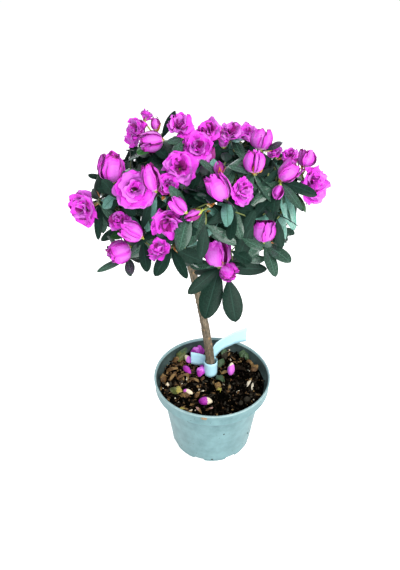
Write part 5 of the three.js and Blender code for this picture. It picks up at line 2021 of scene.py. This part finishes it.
@dataclass
class Pot:
    """The nursery pot: a turned shell with a stepped collar, a thin lip and drain notches."""

    sides: int = 320
    notches: int = 8
    notch_width: float = 12.0
    notch_height: float = 3.6
    notch_depth: float = 8.0
    first_notch: float = -108.0
    foot_points: int = 8
    inner_rows: int = 5
    lip_rows: int = 6
    fine_specks: int = 90
    # Painted shade and highlight by height: dark at the foot and under the collar, bright at its lower edge
    painted_light_bands: tuple[Span, ...] = (
        (0.0, 0.72), (0.035, 0.9), (0.12, 0.95), (0.7, 0.93), (0.8, 0.8),
        (0.842, 0.86), (0.852, 1.0), (0.875, 0.93), (1.0, 0.95))

    def profile(self) -> Array:
        """The shell's section, from the underside round to the floor.

        Returns:
            Radius and height of each point.
        """
        foot, top, collar, rim = FOOT_RADIUS, BODY_TOP_RADIUS, COLLAR_FOOT_RADIUS, RIM_RADIUS
        high = POT_HEIGHT
        ledge = high - COLLAR_HEIGHT
        body = [(foot + (top - foot) * t, 3.2 + (ledge - LEDGE_DROP - 3.2) * t)
                for t in np.linspace(0.0, 1.0, 16)[1:-1]]
        band = [(collar + (rim - 0.3 - collar) * t, ledge + 1.6 + 11 * t) for t in np.linspace(0, 1, 6)]
        return np.array([
            (0.5, 0.0), (20, 0.0), (foot - self.notch_depth + 2, 0.0), (foot - 1.4, 0.0),
            (foot - 0.4, 0.3), (foot, 1.2), (foot + 0.1, 3.1), *body,
            (top, ledge - LEDGE_DROP - 0.6), (top + 0.5, ledge - LEDGE_DROP),
            (collar - 1.8, ledge - 1.0), (collar - 0.5, ledge - 0.7), (collar + 0.15, ledge),
            (collar + 0.1, ledge + 0.8), *band, (rim, high - 2.0), (rim + 0.05, high - 0.9),
            (rim - 0.35, high - 0.2), (rim - 1.0, high), (rim - 1.7, high - 0.25),
            (rim - 2.1, high - 1.0), (rim - WALL - 0.7, high - 3.0), (collar - WALL, ledge + WALL),
            (top - WALL, ledge + WALL - LEDGE_DROP), (foot - WALL + 0.3, FLOOR), (0.5, FLOOR),
        ])

    def build(self) -> Batch:
        """The shell, its wall softly uneven, with the foot's edge lifted at the notches.

        Returns:
            The mesh.
        """
        profile = self.profile()
        angles = turns(self.sides)
        radius, height = profile[:, :1], profile[:, 1:]
        notch = np.zeros(self.sides)
        for index in range(self.notches):
            bearing = math.radians(self.first_notch + 360 * index / self.notches)
            away = np.abs(np.angle(np.exp(1j * (angles - bearing)))) * FOOT_RADIUS
            notch = np.maximum(notch, smooth((self.notch_width / 2 + 0.5 - away) / 1.0))
        at_foot = np.arange(len(profile))[:, None] < self.foot_points
        low = (height < self.notch_height) & (radius > FOOT_RADIUS - self.notch_depth) & at_foot
        lifted = np.where(low, height + notch[None, :] * (self.notch_height - height) * 0.98, height)
        swell = 0.22 * np.sin(2 * angles + 0.6) + 0.12 * np.sin(5 * angles + 2.0)
        out = np.where((height > 12) & (radius > 40), 1.0, 0.0)
        round_r = radius + out * swell[None, :] * (height / POT_HEIGHT)
        grid = np.stack([round_r * np.cos(angles), round_r * np.sin(angles), lifted * np.ones_like(round_r)],
                        axis=-1)
        batch = Batch()
        row = np.arange(len(profile) - 1)
        inner = len(profile) - self.inner_rows
        # The lip rows take a painted highlight
        finish = np.where(row >= inner - self.lip_rows, PotFinish.LIP, PotFinish.WALL)
        # The inner rows take the inner wall's painted shade
        finish = np.where(row >= inner, PotFinish.INNER, finish)
        batch.add(grid[None], finish[None, :, None], ring=True, lids=True)
        return batch

    def build_specks(self) -> Batch:
        """Specks of dirt on the wall: four that show plainly and a scatter of fine ones.

        Returns:
            The mesh.
        """
        rng = np.random.default_rng(SEED + 61)
        count = self.fine_specks
        scatter = np.stack([rng.uniform(0, 360, count), 8 + 88 * rng.uniform(0, 1, count) ** 1.4,
                            rng.uniform(0.4, 1.1, count), rng.uniform(0.4, 0.9, count)], axis=-1)
        rows = np.concatenate([PLAIN_SPECKS, scatter])
        bearing, height = np.radians(rows[:, 0]), rows[:, 1]
        foot = POT_HEIGHT - COLLAR_HEIGHT
        collar = COLLAR_FOOT_RADIUS + (height - foot) / COLLAR_HEIGHT
        wall = FOOT_RADIUS + (BODY_TOP_RADIUS - FOOT_RADIUS) * height / foot
        radius = np.where(height > foot + 0.5, collar, wall)
        outward = np.stack([np.cos(bearing), np.sin(bearing), np.zeros_like(bearing)], axis=-1)
        aside = np.stack([-np.sin(bearing), np.cos(bearing), np.zeros_like(bearing)], axis=-1)
        upward = np.broadcast_to(UP, aside.shape)
        places = outward * radius[:, None] + upward * height[:, None]
        sizes = np.stack([rows[:, 2], rows[:, 3], np.full(len(rows), 0.5)], axis=-1)
        frames = np.stack([aside, upward, outward], axis=1)
        finish = (np.arange(len(rows)) == len(PLAIN_SPECKS) - 1).astype(int)[:, None, None]
        batch = Batch()
        batch.add(pebbles(places, sizes, frames, rng), finish, ring=True, lids=True)
        return batch

    def material(self, name: str, low: Colour, high: Colour) -> Material:
        """Satin moulded plastic: cloudy mottling between two colours, grained, with painted shade at the
        foot and under the collar's ledge, and a painted highlight on the collar's lower edge.

        Args:
            name: the material's name.
            low: the darker colour.
            high: the lighter colour.

        Returns:
            The new material.
        """
        surface = Surface(name)
        cloud = surface.noise(surface.place, Scale=60.0, Detail=5.0, Roughness=0.65)
        plastic = surface.ramp(cloud, ((0.32, low), (0.7, high)))
        height = surface.node("SeparateXYZ", surface.place, "Vector")
        level = surface.spread(height.outputs["Z"], From_Min=0.0, From_Max=POT_HEIGHT * METRES)
        # Painted shade and highlight by height, multiplied into the plastic's colour
        shade = surface.ramp(level, [(at, (grey, grey, grey, 1.0)) for at, grey in self.painted_light_bands])
        surface.join(surface.mix("MULTIPLY", 1.0, plastic, shade), surface.inputs["Base Color"])
        surface.join(surface.spread(cloud, To_Min=0.38, To_Max=0.56), surface.inputs["Roughness"])
        surface.relief(surface.noise(surface.place, Scale=900.0, Detail=2.0), 0.12, 0.2)
        return surface.material


@dataclass
class Studio:
    """Pale floor, soft light and the camera at the photograph's viewing angle."""

    floor_reach: float = 30.0

    def build(self) -> None:
        """Makes the floor, the world, the lights and the camera."""
        self.floor()
        self.light()
        self.camera()

    def floor(self) -> None:
        """A wide pale floor under the pot."""
        mesh = bpy.data.meshes.new("floor")
        reach = self.floor_reach
        corners = [(-reach, -reach, 0), (reach, -reach, 0), (reach, reach, 0), (-reach, reach, 0)]
        mesh.from_pydata(corners, [], [(0, 1, 2, 3)])
        paper = Finish("floor_white", (0.82, 0.82, 0.82, 1.0), 0.9).material()
        settle(paper.node_tree.nodes["Principled BSDF"].inputs,
               Emission_Color=(1.0, 1.0, 1.0, 1.0), Emission_Strength=0.7)
        mesh.materials.append(paper)
        floor = bpy.data.objects.new("floor", mesh)
        bpy.context.scene.collection.objects.link(floor)

    def light(self) -> None:
        """A bright dome, a key lamp from the right, a soft one in front and one behind."""
        world = bpy.data.worlds.new("studio_dome")
        world.use_nodes = True
        settle(world.node_tree.nodes["Background"].inputs,
               Color=(0.96, 0.98, 1.0, 1.0), Strength=0.4)
        bpy.context.scene.world = world
        self.lamp("key_softbox", (0.7, -0.84, 1.1), 0.7, 17.0, (1.0, 0.99, 0.97))
        self.lamp("front_softbox", (0.1, -1.2, 0.62), 0.8, 9.0, (0.97, 0.99, 1.0))
        self.lamp("back_softbox", (-0.35, 0.9, 1.2), 0.7, 9.0, (0.93, 0.97, 1.0))

    def lamp(self, name: str, place: tuple[float, float, float], size: float, power: float,
             colour: tuple[float, float, float]) -> None:
        """A square area lamp that points at the head.

        Args:
            name: the lamp's name.
            place: in metres.
            size: side of the square in metres.
            power: in watts.
            colour: linear.
        """
        data = bpy.data.lights.new(name, "AREA")
        data.size = size
        data.energy = power
        data.color = colour
        lamp = bpy.data.objects.new(name, data)
        target = np.array([-0.01, 0.0, 0.25])
        back = unit(np.array(place) - target)
        lamp.location = place
        lamp.rotation_mode = "QUATERNION"
        lamp.rotation_quaternion = Vector(back).to_track_quat("Z", "Y")
        bpy.context.scene.collection.objects.link(lamp)

    def camera(self) -> None:
        """The camera at the viewer's place, looking down by EYE_DIP with no turn or roll."""
        data = bpy.data.cameras.new("camera")
        data.lens = LENS
        data.sensor_width = SENSOR
        data.clip_end = 100.0
        camera = bpy.data.objects.new("camera", data)
        camera.location = tuple(EYE * METRES)
        camera.rotation_euler = (math.pi / 2 - EYE_DIP, 0.0, 0.0)
        bpy.context.scene.collection.objects.link(camera)
        bpy.context.scene.camera = camera
        bpy.context.scene.view_settings.view_transform = "Standard"


def main() -> None:
    """Builds every sub-assembly in order and reports each piece."""
    logging.basicConfig(level=logging.INFO, format="%(name)s %(message)s")
    masses = tuple(f"foliage_{name}" for name, *_ in MASSES)
    boughs = tuple(f"bough_{name}" for name, *_ in MASSES)
    growth = Growth()
    log.info("sprays: %d, blooms: %d", len(growth.sprays), sum(len(s.blooms) for s in growth.sprays))
    pot = Pot()
    plastic = [pot.material(*colours) for colours in POT_COLOURS]
    pot.build().piece("pot_shell", plastic, "pot", ("pot",))
    pot.build_specks().piece("pot_specks", [f.material() for f in SPECK_FINISHES], "pot")
    soil = Soil()
    earth = [f.material() for f in SOIL_FINISHES]
    soil.build().piece("potting_soil", earth, "soil", ("soil",))
    soil.build_fallen().piece("fallen_bits", earth, "soil")
    paper = [Finish("label_paper_pale_blue", linear(190, 238, 254), 0.42, 0.12, 4.0, mottle=0.03).material()]
    StemLabel().build().piece("label_strip", paper, "label", ("stem_label",), weld=True)
    foliage = Foliage(growth)
    leaves = foliage.build()
    leaves.piece("leaves", [f.material() for f in LEAF_FINISHES], "foliage", masses)
    blossom = Blossom(growth)
    blossom.build_petals().piece("petals", [f.material() for f in PETAL_FINISHES], "foliage", masses)
    green = [f.material() for f in STALK_FINISHES]
    blossom.build_stalks().piece("pedicels_and_calyxes", green, "foliage", masses)
    wood = Wood(growth)
    wood.build_bark().piece("stem_and_boughs", [wood.material()], "bark", ("trunk", *boughs))
    twigs = wood.build_twigs(foliage.side_twigs)
    twigs.piece("twigs", [f.material() for f in TWIG_FINISHES], "bark", masses)
    Studio().build()


if __name__ == "__main__":
    main()
